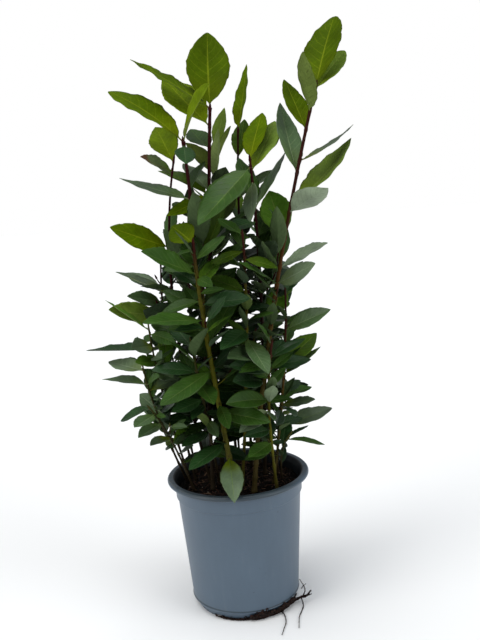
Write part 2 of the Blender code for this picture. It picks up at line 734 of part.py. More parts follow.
def axis_stations(bow, girth, start):
    """Stations up a leafy shoot, ending in its bud."""
    steps = max(4, round(bow.length * (1 - start) / 0.040))
    stations = [(bow.at(start + (1 - start) * step / steps),
                 girth_at(girth, start + (1 - start) * step / steps)) for step in range(steps + 1)]
    onward = bow.way(1.0)
    stations.append((bow.tip + onward * bud_length * 0.45, max(bud_girth, bud_share * girth[1])))
    stations.append((bow.tip + onward * bud_length, 0))
    return stations


def wished_rise(share, height, chance):
    """Leaves stand steeper towards a shoot's tip, and lie flatter low on the plant."""
    return -6 + 52 * share ** 1.6 + 12 * (height - 0.3) / 0.3 + chance.uniform(-9, 9)


def rule_leaves(bow, first, longest, turn, chance):
    """The wished leaves up a shoot, spiralling round it."""
    count = max(2, round(bow.length * (1 - first) / leaf_spacing))
    wishes = []
    for index in range(count):
        share = first + (0.985 - first) * index / (count - 1)
        height = bow.at(share).z
        heading = turn + turn_per_leaf * index + chance.uniform(-14, 14)
        size = longest * (0.72 + 0.28 * math.sin(math.pi * min(1.0, 0.25 + 0.8 * share)))
        length = size * chance.uniform(0.9, 1.06)
        wishes.append(dict(share=share, heading=heading, rise=wished_rise(share, height, chance),
                           length=length, lean=None, broad=leaf_width, arch=None))
    return wishes


def grow_limbs():
    """Each shoot's bow, the stations of its bare stem and of its leafy axis, and its own chance;
    and everything placed so far, which starts with the pot."""
    plan = {}
    points, faces = turned([(0, 0.02), (lip_radius, 0.02), (lip_radius, pot_height),
                            (mouth_radius, pot_height), (mouth_radius, compost_top),
                            (0, compost_top)], 24)
    things = [Thing("pot", "pot", points, faces)]
    for name, shoot in shoots.items():
        bow = Bow((*shoot["foot"], compost_top + gap), shoot["bend"], shoot["tip"])
        first = min([shoot["clothed"]] + [wish["share"] for wish in shoot["placed"]])
        split = first - bare_collar / bow.length
        stem = stem_stations(bow, shoot["girth"], 0.0, split, 4)
        axis = axis_stations(bow, shoot["girth"], split + gap / bow.length)
        plan[name] = dict(bow=bow, stem=stem, axis=axis, chance=random.Random(f"bay {name}"),
                          twigs=[], leaves=[])
        things.append(Thing(name, "stem", *tube(stem, stem_sides, True)))
        things.append(Thing(name, "axis", *tube(axis, axis_sides)))
    return plan, things


def add_leaf(name, wish, by_hand, plan, things):
    """Adds this leaf to its shoot if there is room, and returns whether there was."""
    grown = plan[name]
    girth = girth_at(shoots[name]["girth"], wish["share"])
    rings = free_leaf(name, grown["bow"], girth, wish, by_hand, things, grown["chance"])
    if rings:
        grown["leaves"].append(rings)
    return bool(rings)


def grow_twig(name, shoot, grown, things):
    """A short side twig half way up a shoot, with its own few leaves, where there is room."""
    heading = math.radians(shoot["turn"] + turn_per_leaf / 2)
    start = grown["bow"].at(twig_share)
    outward = Vector((math.cos(heading), math.sin(heading), 0.9))
    twig = Bow(start, start + outward * twig_reach * 2 / 3,
               start + outward * twig_reach + Vector((0, 0, twig_climb)))
    stations = axis_stations(twig, twig_girth, 0.0)
    tested = Thing(name, "twig", *tube([(place, radius + clearance if radius else 0)
                                        for place, radius in stations[1:]], axis_sides))
    if any(tested.touches(thing) for thing in things):
        return
    things.append(Thing(name, "twig", *tube(stations, axis_sides)))
    grown["twigs"].append(stations)
    for step in range(twig_leaves):
        side = 0 if step == twig_leaves - 1 else 65 * (-1) ** step
        wish = dict(share=0.45 + 0.18 * step, heading=math.degrees(heading) + side,
                    rise=25 + 14 * step, length=shoot["longest"] * 0.78, lean=None,
                    broad=leaf_width, arch=None)
        rings = free_leaf(name, twig, twig_girth[0] * 0.85, wish, False, things, grown["chance"])
        if rings:
            grown["leaves"].append(rings)


def grow_plan():
    """Everything that grows: stems first, then the leaves set by hand, the twigs, and the
    rule's leaves where there is still room."""
    plan, things = grow_limbs()
    left_out = []
    for name, shoot in shoots.items():
        for wish in shoot["placed"]:
            if not add_leaf(name, wish, True, plan, things):
                left_out.append((name, wish["share"]))
    for name, shoot in shoots.items():
        if shoot["twigs"]:
            grow_twig(name, shoot, plan[name], things)
    missed = 0
    for name, shoot in shoots.items():
        bow = plan[name]["bow"]
        wishes = rule_leaves(bow, shoot["clothed"], shoot["longest"], shoot["turn"],
                             plan[name]["chance"])
        for taken in shoot["placed"]:
            nearest = min(wishes, key=lambda wish: abs(wish["share"] - taken["share"]))
            if abs(nearest["share"] - taken["share"]) * bow.length < leaf_spacing:
                wishes.remove(nearest)
        for wish in wishes:
            backward = math.sin(math.radians(wish["heading"])) > 0.55
            if wish["share"] > shoot.get("set_from", 1.0) and not backward:
                continue
            if not add_leaf(name, wish, False, plan, things):
                missed += 1
    print("leaves set by hand left out:", left_out, "rule leaves left out:", missed)
    return plan


def make_shoot(name, grown):
    """The leafy shoot: its axis, twigs and leaves, joined into one solid."""
    made = make_object(f"shoot_{name}", *tube(grown["axis"], axis_sides),
                       paint=young_leaf_paint if grown["bow"].tip.z > 0.55 else leaf_paint)
    helpers = bpy.data.collections.new(f"leaves_{name}")
    bpy.context.scene.collection.children.link(helpers)
    for index, stations in enumerate(grown["twigs"]):
        make_object(f"{name}_twig_{index}", *tube(stations, axis_sides), collection=helpers)
    for index, rings in enumerate(grown["leaves"]):
        make_object(f"{name}_leaf_{index}", *leaf_mesh(rings), collection=helpers)
    join(made, helpers)
    return made


def main():
    clear_scene()
    make_pot()
    make_compost()
    make_roots()
    plan = grow_plan()
    leaf_count = 0
    for name, grown in plan.items():
        stem = make_object(f"stem_{name}", *tube(grown["stem"], stem_sides, True),
                           paint=stem_paint)
        smooth(stem, 60)
        make_shoot(name, grown)
        leaf_count += len(grown["leaves"])
    print("leaves:", leaf_count)


main()
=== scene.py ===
import math
import random

import bpy
import numpy as np
from mathutils import Matrix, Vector
from mathutils.bvhtree import BVHTree


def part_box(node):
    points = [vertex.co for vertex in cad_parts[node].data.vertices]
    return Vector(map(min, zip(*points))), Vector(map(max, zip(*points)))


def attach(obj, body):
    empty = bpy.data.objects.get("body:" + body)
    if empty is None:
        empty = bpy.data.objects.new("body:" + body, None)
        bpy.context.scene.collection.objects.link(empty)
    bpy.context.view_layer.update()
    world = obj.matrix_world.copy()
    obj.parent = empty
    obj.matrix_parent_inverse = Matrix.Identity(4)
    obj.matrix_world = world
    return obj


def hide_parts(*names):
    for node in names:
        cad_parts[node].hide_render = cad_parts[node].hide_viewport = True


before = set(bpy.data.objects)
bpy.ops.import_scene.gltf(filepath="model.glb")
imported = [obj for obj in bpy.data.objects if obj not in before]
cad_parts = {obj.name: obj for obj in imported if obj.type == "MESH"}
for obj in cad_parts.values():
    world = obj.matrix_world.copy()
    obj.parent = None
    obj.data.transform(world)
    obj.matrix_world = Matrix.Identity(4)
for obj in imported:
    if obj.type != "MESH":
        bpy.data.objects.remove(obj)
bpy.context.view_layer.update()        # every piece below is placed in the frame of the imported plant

scene = bpy.context.scene
upright = np.array([0.0, 0.0, 1.0])

# where the plant is looked at from: metres, degrees, and pixels of a picture 640 high
view = dict(distance=0.900, height=0.502, pitch=8.65, roll=-4.0, yaw=1.03, focal=730.0, pictureHeight=640,
            sensorHeight=36.0, nearest=0.01)


def addCamera(view):
    # ahead turns by yaw and dips by pitch; the picture's axes are rolled about it
    yaw, pitch, roll = (math.radians(view[name]) for name in ("yaw", "pitch", "roll"))
    ahead = np.array([math.sin(yaw) * math.cos(pitch), math.cos(yaw) * math.cos(pitch), -math.sin(pitch)])
    level = np.array([math.cos(yaw), -math.sin(yaw), 0.0])
    above = np.cross(level, ahead)
    turned = np.eye(4)
    turned[:3, 0] = level * math.cos(roll) + above * math.sin(roll)
    turned[:3, 1] = above * math.cos(roll) - level * math.sin(roll)
    turned[:3, 2] = -ahead
    turned[:3, 3] = (0.0, -view["distance"], view["height"])
    camera = bpy.data.objects.new("camera", bpy.data.cameras.new("camera"))
    scene.collection.objects.link(camera)
    camera.matrix_world = Matrix(turned.tolist())
    camera.data.sensor_fit = "VERTICAL"
    camera.data.sensor_height = view["sensorHeight"]
    camera.data.lens = view["focal"] / view["pictureHeight"] * view["sensorHeight"]
    camera.data.clip_start = view["nearest"]
    scene.camera = camera


addCamera(view)
print("camera placed")

# ---- the growth rule, as the solids were grown by it

potSizes = dict(height=0.170, wall=0.0016, footRadius=0.0625, heelRadius=0.0690, heelHeight=0.012,
                shoulderRadius=0.0786, shoulderHeight=0.144, neckRadius=0.0806, lipRadius=0.0904,
                lipDepth=0.0060, mouthRadius=0.0816, floor=0.0025, notches=8, notchWidth=0.016,
                notchHeight=0.0045, notchTurn=0.25, sides=168)
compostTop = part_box("compost")[1][2]
gap = 0.0003

limbSizes = dict(stemSides=6, axisSides=5, flare=1.45, flareHeight=0.014, budLength=0.007,
                 budGirth=0.0013, budShare=0.72, collar=0.007)
leafRule = dict(turn=137.5, spacing=0.0185, width=0.43, stalkShare=0.05, stalkGirth=0.0009,
                thickness=0.012, fold=9, rings=(0.18, 0.48, 0.78), faceLean=40, clearance=0.0006,
                root=0.62, leanSpread=16, turnSpread=14, lengths=(0.9, 1.06), riseSpread=9, last=0.985,
                backward=0.55)
handTries = dict(count=17, turn=5, rise=4, shorter=0.012, arch=(-6, 8))
ruleTries = dict(count=17, turn=22, rise=14, shorter=0.025, arch=(0, 18))
twigSizes = dict(share=0.52, girth=(0.0013, 0.00095), reach=0.030, climb=0.020, rise=0.9,
                 leaves=4, length=0.78, spread=65)
crown = dict(middle=(-0.010, 0.004), clump=(-0.010, 0.022), low=(0.118, 0.112), high=(0.075, 0.085),
             top=0.66, waist=0.40, foot=0.195, tuck=0.28, tuckHeight=0.06)


# each shoot's foot on the compost and bow in millimetres, its girth, where its leaves start and how long they
# get, and a row for each listed leaf: share of the way up in percent, heading and climb in degrees,
# length in millimetres, lean, width in percent of the length, and arch
shoots = dict(
    front=dict(
        foot=(-4, -46), bend=(-26, -56, 364), tip=(-32, -65, 467), girth=(0.0034, 0.0018),
        clothed=0.10, longest=73, turn=20, twigs=1, setFrom=0.55, placed=(
            (100, 114, 17, 65, -36, 50), (76, 226, 23, 82, -48, 42), (70, 41, 38, 48, 24, 43),
            (54, 224, 7, 86, -21, 40), (48, 131, 3, 61, -54, 48), (45, 50, 44, 88, 0, 40),
            (36, 224, -16, 82, -15, 42), (14, 229, -11, 65, -6, 42), (10, 273, -30, 66, 0, 42, 26))),
    middle_left=dict(
        foot=(-33, -22), bend=(-30, -5, 380), tip=(-36, -20, 584), girth=(0.0026, 0.0021),
        clothed=0.16, longest=84, turn=60, twigs=1, setFrom=0.72, placed=(
            (100, 152, 35, 117, -15, 42, 16), (100, 301, 38, 84, 66, 36), (99, 273, -29, 48, -9, 50),
            (83, 157, 19, 96, -12, 36), (77, 111, 21, 63, -3, 43))),
    tallest_left=dict(
        foot=(-20, 30), bend=(-17, 20, 403), tip=(-2, 10, 624), girth=(0.0030, 0.0022),
        clothed=0.18, longest=89, turn=190, twigs=1, setFrom=0.70, placed=(
            (100, 85, 68, 99, 8, 54), (100, 169, 35, 110, -15, 36), (95, 138, 43, 96, -24, 52),
            (89, 112, 26, 65, -12, 45), (77, 120, 32, 71, 3, 42), (76, 146, 25, 89, -9, 40),
            (76, 222, -23, 65, -36, 45), (58, 57, 47, 63, 24, 43))),
    middle_back=dict(
        foot=(0, 50), bend=(-4, 55, 398), tip=(1, 50, 578), girth=(0.0022, 0.0015),
        clothed=0.14, longest=78, turn=10, placed=(
            (100, 41, 69, 54, 9, 40), (87, 271, 55, 73, 51, 40))),
    middle_right=dict(
        foot=(20, 50), bend=(23, 50, 423), tip=(31, 45, 598), girth=(0.0022, 0.0013),
        clothed=0.13, longest=78, turn=120, twigs=1, setFrom=0.75, placed=(
            (100, 61, 67, 90, -33, 36), (88, 68, 57, 59, -6, 44), (68, 103, 46, 61, 21, 42))),
    right=dict(
        foot=(35, 20), bend=(44, 0, 388), tip=(41, -10, 559), girth=(0.0025, 0.0016),
        clothed=0.14, longest=84, turn=250, twigs=1, setFrom=0.72, placed=(
            (100, 65, 50, 73, -9, 44), (97, 221, -36, 104, -15, 48), (95, 49, 49, 78, 3, 48),
            (91, 261, -45, 63, 39, 40), (82, 107, 52, 73, 18, 42), (81, 45, 53, 88, -15, 36),
            (76, 227, -7, 54, -30, 42))),
    tallest_right=dict(
        foot=(18, -39), bend=(59, -25, 390), tip=(126, 0, 641), girth=(0.0033, 0.0020),
        clothed=0.22, longest=82, turn=75, setFrom=0.44, placed=(
            (100, 51, 59, 96, -3, 56), (99, 38, 45, 67, 36, 50), (94, 259, 42, 82, -48, 42),
            (90, 116, 57, 75, 3, 44), (83, 26, 27, 88, 0, 24), (80, 104, 63, 96, 27, 42),
            (73, 23, 40, 113, 9, 40, -14), (71, 306, 20, 69, -30, 50), (65, 100, 43, 82, -21, 48),
            (58, 22, 19, 69, -42, 42), (54, 319, 23, 59, 63, 45), (54, 217, 27, 82, -33, 36),
            (50, 27, 11, 61, 15, 42), (45, 78, 36, 63, 12, 45))),
    front_middle=dict(
        foot=(4, -16), bend=(21, -40, 334), tip=(25, -55, 472), girth=(0.0022, 0.0014),
        clothed=0.24, longest=73, turn=40, setFrom=0.55, placed=(
            (100, 110, 26, 46, -15, 42), (58, 238, -11, 59, -21, 44), (55, 295, -28, 67, -6, 42),
            (44, 141, -20, 54, -36, 40), (36, 50, 44, 50, 30, 45))),
    left=dict(
        foot=(-35, 0), bend=(-66, 20, 381), tip=(-51, 20, 567), girth=(0.0022, 0.0014),
        clothed=0.16, longest=78, turn=330, setFrom=0.66, placed=(
            (99, 115, 43, 69, -21, 52), (96, 241, 13, 65, -54, 42), (72, 81, 51, 52, -21, 40),
            (70, 216, 21, 82, -63, 43), (54, 167, 26, 78, -3, 30))),
    outer_left=dict(
        foot=(-55, 15), bend=(-78, 30, 308), tip=(-79, 35, 442), girth=(0.0018, 0.0012),
        clothed=0.22, longest=73, turn=80, setFrom=0.66, placed=(
            (85, 145, 23, 61, -18, 42), (80, 224, 15, 54, -51, 45), (73, 218, 14, 77, -48, 44),
            (67, 271, -44, 54, -30, 42))),
    lower_left=dict(
        foot=(-60, 0), bend=(-86, -10, 279), tip=(-97, -10, 372), girth=(0.0017, 0.0011),
        clothed=0.26, longest=69, turn=20, setFrom=0.66, placed=(
            (94, 158, 36, 69, 0, 36), (83, 251, 8, 54, -51, 48), (80, 155, -2, 94, -6, 30),
            (71, 245, 12, 44, -48, 45))),
    low_left=dict(
        foot=(-66, 12), bend=(-92, -20, 250), tip=(-106, -30, 321), girth=(0.0016, 0.0011),
        clothed=0.26, longest=63, turn=200, setFrom=0.74, placed=(
            (96, 137, 5, 63, -18, 46), (82, 146, 1, 71, -6, 36), (76, 55, 15, 47, 30, 45))),
    skirt_left=dict(
        foot=(-56, -22), bend=(-78, -38, 228), tip=(-99, -52, 274), girth=(0.0015, 0.0010),
        clothed=0.26, longest=54, turn=150, setFrom=0.45, placed=(
            (100, 147, -22, 50, -30, 42), (89, 246, -2, 46, -15, 46), (74, 241, -4, 46, -15, 46),
            (55, 244, 4, 42, -12, 44), (49, 47, 13, 44, 24, 46))),
    lower_right=dict(
        foot=(44, -18), bend=(65, -20, 296), tip=(73, -20, 398), girth=(0.0018, 0.0012),
        clothed=0.18, longest=67, turn=100, setFrom=0.48, placed=(
            (78, 34, 20, 44, 3, 30), (75, 334, 23, 61, 51, 44), (56, 41, 24, 65, 30, 44),
            (50, 25, 26, 59, 0, 40))),
    low_right=dict(
        foot=(52, 22), bend=(56, 12, 217), tip=(64, 2, 272), girth=(0.0016, 0.0011),
        clothed=0.30, longest=61, turn=250, setFrom=0.50, placed=(
            (90, 35, 3, 50, 18, 42), (81, 317, 13, 54, 24, 42), (55, 9, 11, 71, 24, 40))),
    skirt_right=dict(
        foot=(56, -6), bend=(56, -20, 194), tip=(67, -30, 222), girth=(0.0015, 0.0010),
        clothed=0.30, longest=52, turn=0, setFrom=0.60, placed=(
            (94, 43, 6, 38, -9, 34), (88, 19, -18, 52, 12, 32), (69, 51, 40, 50, 9, 44))),
    front_low=dict(
        foot=(-24, -8), bend=(-34, -40, 262), tip=(-44, -58, 352), girth=(0.0019, 0.0013),
        clothed=0.26, longest=71, turn=200, placed=(
            (96, 120, 27, 52, -30, 45), (70, 288, -15, 52, -3, 46), (59, 224, -5, 48, -27, 45))),
    front_right_low=dict(
        foot=(47, -36), bend=(43, -48, 262), tip=(50, -66, 345), girth=(0.0019, 0.0013),
        clothed=0.24, longest=69, turn=200, placed=(
            (70, 95, 43, 50, -9, 44), (49, 217, -19, 48, -36, 46), (35, 191, 18, 48, -36, 46),
            (28, 231, -5, 46, -21, 50))),
    back_left=dict(
        foot=(-34, 52), bend=(-48, 62, 340), tip=(-40, 66, 500), girth=(0.0024, 0.0015),
        clothed=0.13, longest=82, turn=95),
    back_right=dict(
        foot=(30, 60), bend=(52, 70, 330), tip=(58, 60, 470), girth=(0.0024, 0.0015),
        clothed=0.13, longest=82, turn=45),
    lower_back=dict(
        foot=(4, 70), bend=(4, 84, 270), tip=(10, 88, 360), girth=(0.0018, 0.0012),
        clothed=0.14, longest=69, turn=160),
    low_back_left=dict(
        foot=(-55, 42), bend=(-70, 62, 250), tip=(-78, 72, 320), girth=(0.0016, 0.0011),
        clothed=0.18, longest=63, turn=100),
    low_back_right=dict(
        foot=(52, 46), bend=(68, 58, 250), tip=(78, 60, 330), girth=(0.0016, 0.0011),
        clothed=0.18, longest=63, turn=30),
)


def leafWish(share, heading, rise, length, lean=None, broad=leafRule["width"], arch=None):
    return dict(share=share, heading=heading, rise=rise, length=length, lean=lean, broad=broad, arch=arch)


def setWish(percent, heading, rise, millimetres, lean, width, arch=None):
    return leafWish(percent / 100, heading, rise, millimetres / 1000, lean, width / 100, arch)


for shoot in shoots.values():
    for key in ("foot", "bend", "tip"):
        shoot[key] = tuple(value / 1000 for value in shoot[key])
    shoot["longest"] /= 1000
    shoot["placed"] = [setWish(*row) for row in shoot.get("placed", ())]


def unit(rows):
    return rows / np.linalg.norm(rows, axis=-1, keepdims=True)


def headed(degrees, climb=0.0):
    # the way at this heading on the ground, with the given height
    turn = math.radians(degrees)
    return np.array([math.cos(turn), math.sin(turn), climb])


def ringAngles(count):
    return 2 * np.pi * np.arange(count) / count


def slopeWays(outward, slopes):
    # cos(slope) outward + sin(slope) up, for each slope
    return np.cos(slopes)[:, None] * outward + np.sin(slopes)[:, None] * upright


def anyPhase(chance):
    return chance.uniform(0, 6.28)


def smoothStep(low, high, values):
    # 3t^2 - 2t^3 with t running from 0 at low to 1 at high
    t = np.clip((values - low) / (high - low), 0.0, 1.0)
    return t * t * (3 - 2 * t)


class Bow:
    # p(t) = (1-t)^2 foot + 2 t (1-t) pull + t^2 tip, with the bend at t = 1/2
    def __init__(self, foot, bend, tip):
        self.foot, self.tip = np.array(foot, float), np.array(tip, float)
        self.pull = 2 * np.array(bend, float) - (self.foot + self.tip) / 2
        self.length = np.linalg.norm(np.diff(self.at(np.linspace(0, 1, 41)), axis=0), axis=1).sum()

    def at(self, share):
        t = np.asarray(share, float)[..., None]
        return self.foot * (1 - t) ** 2 + self.pull * 2 * (1 - t) * t + self.tip * t * t

    def way(self, share):
        return unit((self.pull - self.foot) * (1 - share) + (self.tip - self.pull) * share)


def sweep(places, radii, sides, levelFoot=False):
    # place + radius (cos a side + sin a up), where side is carried along the path without turning
    places = np.asarray(places, float)
    ways = unit(np.vstack([places[1:], places[-1:]]) - np.vstack([places[:1], places[:-1]]))
    if levelFoot:
        ways[0] = upright
    side = np.cross(upright, ways[0])
    if np.linalg.norm(side) < 1e-4:
        side = np.array([0.0, 1.0, 0.0])
    sideWays = []
    for way in ways:
        side = side - way * side.dot(way)
        side = side / np.linalg.norm(side)
        sideWays.append(side)
    sideWays = np.array(sideWays)
    angles = ringAngles(sides)
    spokes = (np.cos(angles)[None, :, None] * sideWays[:, None]
              + np.sin(angles)[None, :, None] * np.cross(ways, sideWays)[:, None])
    radii = np.asarray(radii, float)
    return places[:, None] + spokes * (radii[:, None, None] if radii.ndim == 1 else radii[..., None])


def shellFaces(rows, sides):
    # quads round a stack of rings, and fans to a pole at each end
    ring, side = np.meshgrid(np.arange(rows - 1), np.arange(sides), indexing="ij")
    here, beside = ring * sides + side, ring * sides + (side + 1) % sides
    quads = np.stack([here, beside, beside + sides, here + sides], -1).reshape(-1, 4)
    start, following = np.arange(sides), (np.arange(sides) + 1) % sides
    last = (rows - 1) * sides
    feet = np.stack([following, start, np.full(sides, rows * sides)], -1)
    tips = np.stack([last + start, last + following, np.full(sides, rows * sides + 1)], -1)
    return quads, np.vstack([feet, tips])


def withPoles(grid):
    # the points of a stack of rings, then the middles of its first and last ring
    return np.vstack([grid.reshape(-1, grid.shape[-1]), grid[0].mean(0), grid[-1].mean(0)])


class Thing:
    # a placed piece, kept for testing what would touch it
    def __init__(self, owner, rings, part="leaf"):
        self.owner, self.part = owner, part
        quads, fans = shellFaces(*rings.shape[:2])
        points = withPoles(rings)
        self.low, self.high = points.min(0), points.max(0)
        self.tree = BVHTree.FromPolygons(points.tolist(), quads.tolist() + fans.tolist())

    def touches(self, other):
        near = (self.low <= other.high).all() and (other.low <= self.high).all()
        return bool(near and self.tree.overlap(other.tree))


def midrib(wish, shares):
    # steps along slope = rise + arch (1/2 - share); gives places and the ways forward and left
    outward = headed(wish["heading"])
    across = np.cross(upright, outward)
    steps = np.diff(shares, prepend=0.0)
    total = wish["length"] * (1 + leafRule["stalkShare"])
    slopes = np.radians(wish["rise"] + wish["arch"] * (0.5 - (shares - steps / 2)))
    places = wish["start"] + np.cumsum(slopeWays(outward, slopes) * (total * steps)[:, None], axis=0)
    forward = slopeWays(outward, np.radians(wish["rise"] + wish["arch"] * (0.5 - shares)))
    return places, forward, across


def bladeHalf(blade, wish):
    # half width = 0.53 broad length sin(pi b^0.94)^0.82
    return 0.53 * wish["broad"] * wish["length"] * np.sin(np.pi * np.clip(blade, 0, 1) ** 0.94) ** 0.82


def plainLeaf(wish, grow=0.0):
    # the solid's own leaf: rings of left, top, right and underneath
    stalk = leafRule["stalkShare"] / (1 + leafRule["stalkShare"])
    rings = np.array(leafRule["rings"])
    shares = np.concatenate([[0.0, stalk], stalk + (1 - stalk) * rings, [1.0]])
    places, forward, across = midrib(wish, shares)
    upward = np.cross(forward, across)
    lean = math.radians(wish["lean"])
    left = across * math.cos(lean) + upward * math.sin(lean)
    above = upward * math.cos(lean) - across * math.sin(lean)
    half = bladeHalf(rings, wish) + grow
    thick = 0.5 * leafRule["thickness"] * wish["length"] * (1 - 0.35 * rings) + grow
    fold = math.radians(leafRule["fold"])
    stalkHalf = np.array([wish["rootGirth"], leafRule["stalkGirth"]]) + grow
    wide = np.concatenate([stalkHalf * 0.87, half * math.cos(fold), [0.0]])[:, None]
    lift = np.concatenate([stalkHalf * 0.5, half * math.sin(fold), [0.0]])[:, None]
    over = np.concatenate([stalkHalf * 0.5, thick, [0.0]])[:, None]
    under = np.concatenate([stalkHalf, thick, [0.0]])[:, None]
    places[-1] += forward[-1] * grow
    return np.stack([places + left * wide + above * lift, places + above * over,
                     places - left * wide + above * lift, places - above * under], 1)


def crownHalf(height):
    # the crown's half widths, which shrink from its waist to its top
    climb = min(1.0, max(0.0, (height - crown["waist"]) / (crown["top"] - crown["waist"])))
    return np.array(crown["low"]) + (np.array(crown["high"]) - np.array(crown["low"])) * climb


def outsideCrown(place, reach=1.0):
    # whether a leaf's tip would stand out of the crown
    if place[2] < crown["foot"]:
        return True
    out = (place[:2] - crown["middle"]) / crownHalf(place[2])
    tuck = min(1.0, 1 - crown["tuck"] * (1 - (place[2] - crown["foot"]) / crown["tuckHeight"]))
    return place[2] > crown["top"] or out.dot(out) > (reach * tuck) ** 2


def girthAt(girth, share):
    foot, tip = girth
    return tip + (foot - tip) * np.maximum(0.0, 1 - share) ** 1.15


def budGirth(girth):
    return max(limbSizes["budGirth"], limbSizes["budShare"] * girth[1])


plan = {}            # what each shoot has grown: its bow, chance, twigs and leaves
things = []          # everything placed so far


def isClear(name, rings):
    # a leaf grows out of its own shoot, so only its blade is tested against that
    whole, unrooted, blade = [Thing(name, rings[skip:]) for skip in range(3)]
    for thing in things:
        probe = whole
        if thing.owner == name:
            probe = unrooted if thing.part == "stem" else blade
        if probe.touches(thing):
            return False
    return True


def placeLeaf(name, bow, girth, wish, chance, byHand=False, reach=1.0, **twig):
    # turns the wished leaf until it is clear of everything placed before it, and leaves it out otherwise
    start = bow.at(wish["share"])
    tries = handTries if byHand else ruleTries
    arch = wish["arch"]
    if arch is None:
        arch = chance.uniform(*tries["arch"])
    wander = chance.uniform(-leafRule["leanSpread"], leafRule["leanSpread"])
    away = unit(start[:2] - crown["clump"])
    for attempt in range(tries["count"]):
        side = (attempt + 1) // 2 * (1 if attempt % 2 else -1)
        heading = wish["heading"] + side * tries["turn"]
        spread = tries["rise"] if attempt else 0
        rise = wish["rise"] + chance.uniform(-spread, spread)
        lean = wish["lean"]
        if lean is None:
            lean = wander - leafRule["faceLean"] * np.cross(upright, headed(heading))[:2].dot(away)
        found = dict(wish, start=start, rootGirth=leafRule["root"] * girth, heading=heading, rise=rise,
                     length=wish["length"] * (1 - tries["shorter"] * attempt), arch=arch, lean=lean)
        rings = plainLeaf(found)
        if not byHand and outsideCrown(rings[-1, 0], reach):
            continue
        if isClear(name, plainLeaf(found, leafRule["clearance"])):
            things.append(Thing(name, rings))
            plan[name]["leaves"].append(dict(found, **twig))
            return


def stemStations(bow, girth, start, end, steps):
    # shares crowd towards the foot, where the radius flares
    shares = start + (end - start) * (np.arange(steps + 1) / steps) ** 1.25
    places = bow.at(shares)
    low = np.maximum(0.0, 1 - (places[:, 2] - bow.foot[2]) / limbSizes["flareHeight"])
    return places, girthAt(girth, shares) * (1 + (limbSizes["flare"] - 1) * low * low)


def axisStations(bow, girth, start):
    # up a leafy shoot to the point of its bud
    steps = max(4, round(bow.length * (1 - start) / 0.040))
    shares = start + (1 - start) * np.arange(steps + 1) / steps
    onward = bow.way(1.0) * limbSizes["budLength"]
    places = np.vstack([bow.at(shares), bow.tip + onward * 0.45, bow.tip + onward])
    return places, np.concatenate([girthAt(girth, shares), [budGirth(girth), 0.0]])


def ruleLeaves(bow, first, longest, turn, chance):
    # wished leaves that spiral up a shoot: rise = -6 + 52 share^1.6 + 12 (height / 0.3 - 1), and
    # length = longest (0.72 + 0.28 sin(pi (0.25 + 0.8 share)))
    rule = leafRule
    count = max(2, round(bow.length * (1 - first) / rule["spacing"]))
    wishes = []
    for index in range(count):
        share = first + (rule["last"] - first) * index / (count - 1)
        height = bow.at(share)[2]
        heading = turn + rule["turn"] * index + chance.uniform(-rule["turnSpread"], rule["turnSpread"])
        size = longest * (0.72 + 0.28 * math.sin(math.pi * min(1.0, 0.25 + 0.8 * share)))
        length = size * chance.uniform(*rule["lengths"])
        steep = -6 + 52 * share ** 1.6 + 12 * (height - 0.3) / 0.3
        rise = steep + chance.uniform(-rule["riseSpread"], rule["riseSpread"])
        wishes.append(leafWish(share, heading, rise, length))
    return wishes


def turnedRings(profile, sides):
    # radius and height of each profile point, turned round the Z axis
    angles = ringAngles(sides)
    profile = np.array(profile, float)
    return np.stack([profile[:, :1] * np.cos(angles), profile[:, :1] * np.sin(angles),
                     np.repeat(profile[:, 1:], sides, 1)], -1)


def growLimbs():
    # the pot, then each shoot's stem and leafy part
    p = potSizes
    outline = [(1e-5, 0.02), (p["lipRadius"], 0.02), (p["lipRadius"], p["height"]),
               (p["mouthRadius"], p["height"]), (p["mouthRadius"], compostTop), (1e-5, compostTop)]
    things.append(Thing("pot", turnedRings(outline, 24)))
    for name, shoot in shoots.items():
        bow = Bow((*shoot["foot"], compostTop + gap), shoot["bend"], shoot["tip"])
        first = min([shoot["clothed"]] + [wish["share"] for wish in shoot["placed"]])
        split = first - limbSizes["collar"] / bow.length
        stem = stemStations(bow, shoot["girth"], 0.0, split, 4)
        axis = axisStations(bow, shoot["girth"], split + gap / bow.length)
        plan[name] = dict(bow=bow, chance=random.Random(f"bay {name}"), twigs=[], fineTwigs=set(), leaves=[])
        things.append(Thing(name, sweep(*stem, limbSizes["stemSides"], True), "stem"))
        things.append(Thing(name, sweep(*axis, limbSizes["axisSides"])))


def addTwig(name, twig, stations, tested):
    # whether the twig is clear where it is tested, and if so it is kept
    probe = Thing(name, sweep(*tested, limbSizes["axisSides"]))
    if any(probe.touches(thing) for thing in things):
        return False
    things.append(Thing(name, sweep(*stations, limbSizes["axisSides"])))
    plan[name]["twigs"].append(twig)
    return True


def growTwig(name, shoot, look):
    # a short side twig half way up a shoot, with its own few leaves, where there is room
    grown, heading = plan[name], shoot["turn"] + leafRule["turn"] / 2
    start = grown["bow"].at(look["share"])
    outward = headed(heading, look["rise"]) * look["reach"]
    twig = Bow(start, start + outward * 2 / 3, start + outward + upright * look["climb"])
    places, radii = axisStations(twig, look["girth"], 0.0)
    swollen = np.where(radii > 0, radii + leafRule["clearance"], 0.0)
    if not addTwig(name, twig, (places, radii), (places[1:], swollen[1:])):
        return
    for step in range(look["leaves"]):
        side = 0 if step == look["leaves"] - 1 else look["spread"] * (-1) ** step
        wish = leafWish(0.45 + 0.18 * step, heading + side, 25 + 14 * step, shoot["longest"] * look["length"])
        girth = look["girth"][0] * 0.85
        placeLeaf(name, twig, girth, wish, grown["chance"], twig=len(grown["twigs"]) - 1)


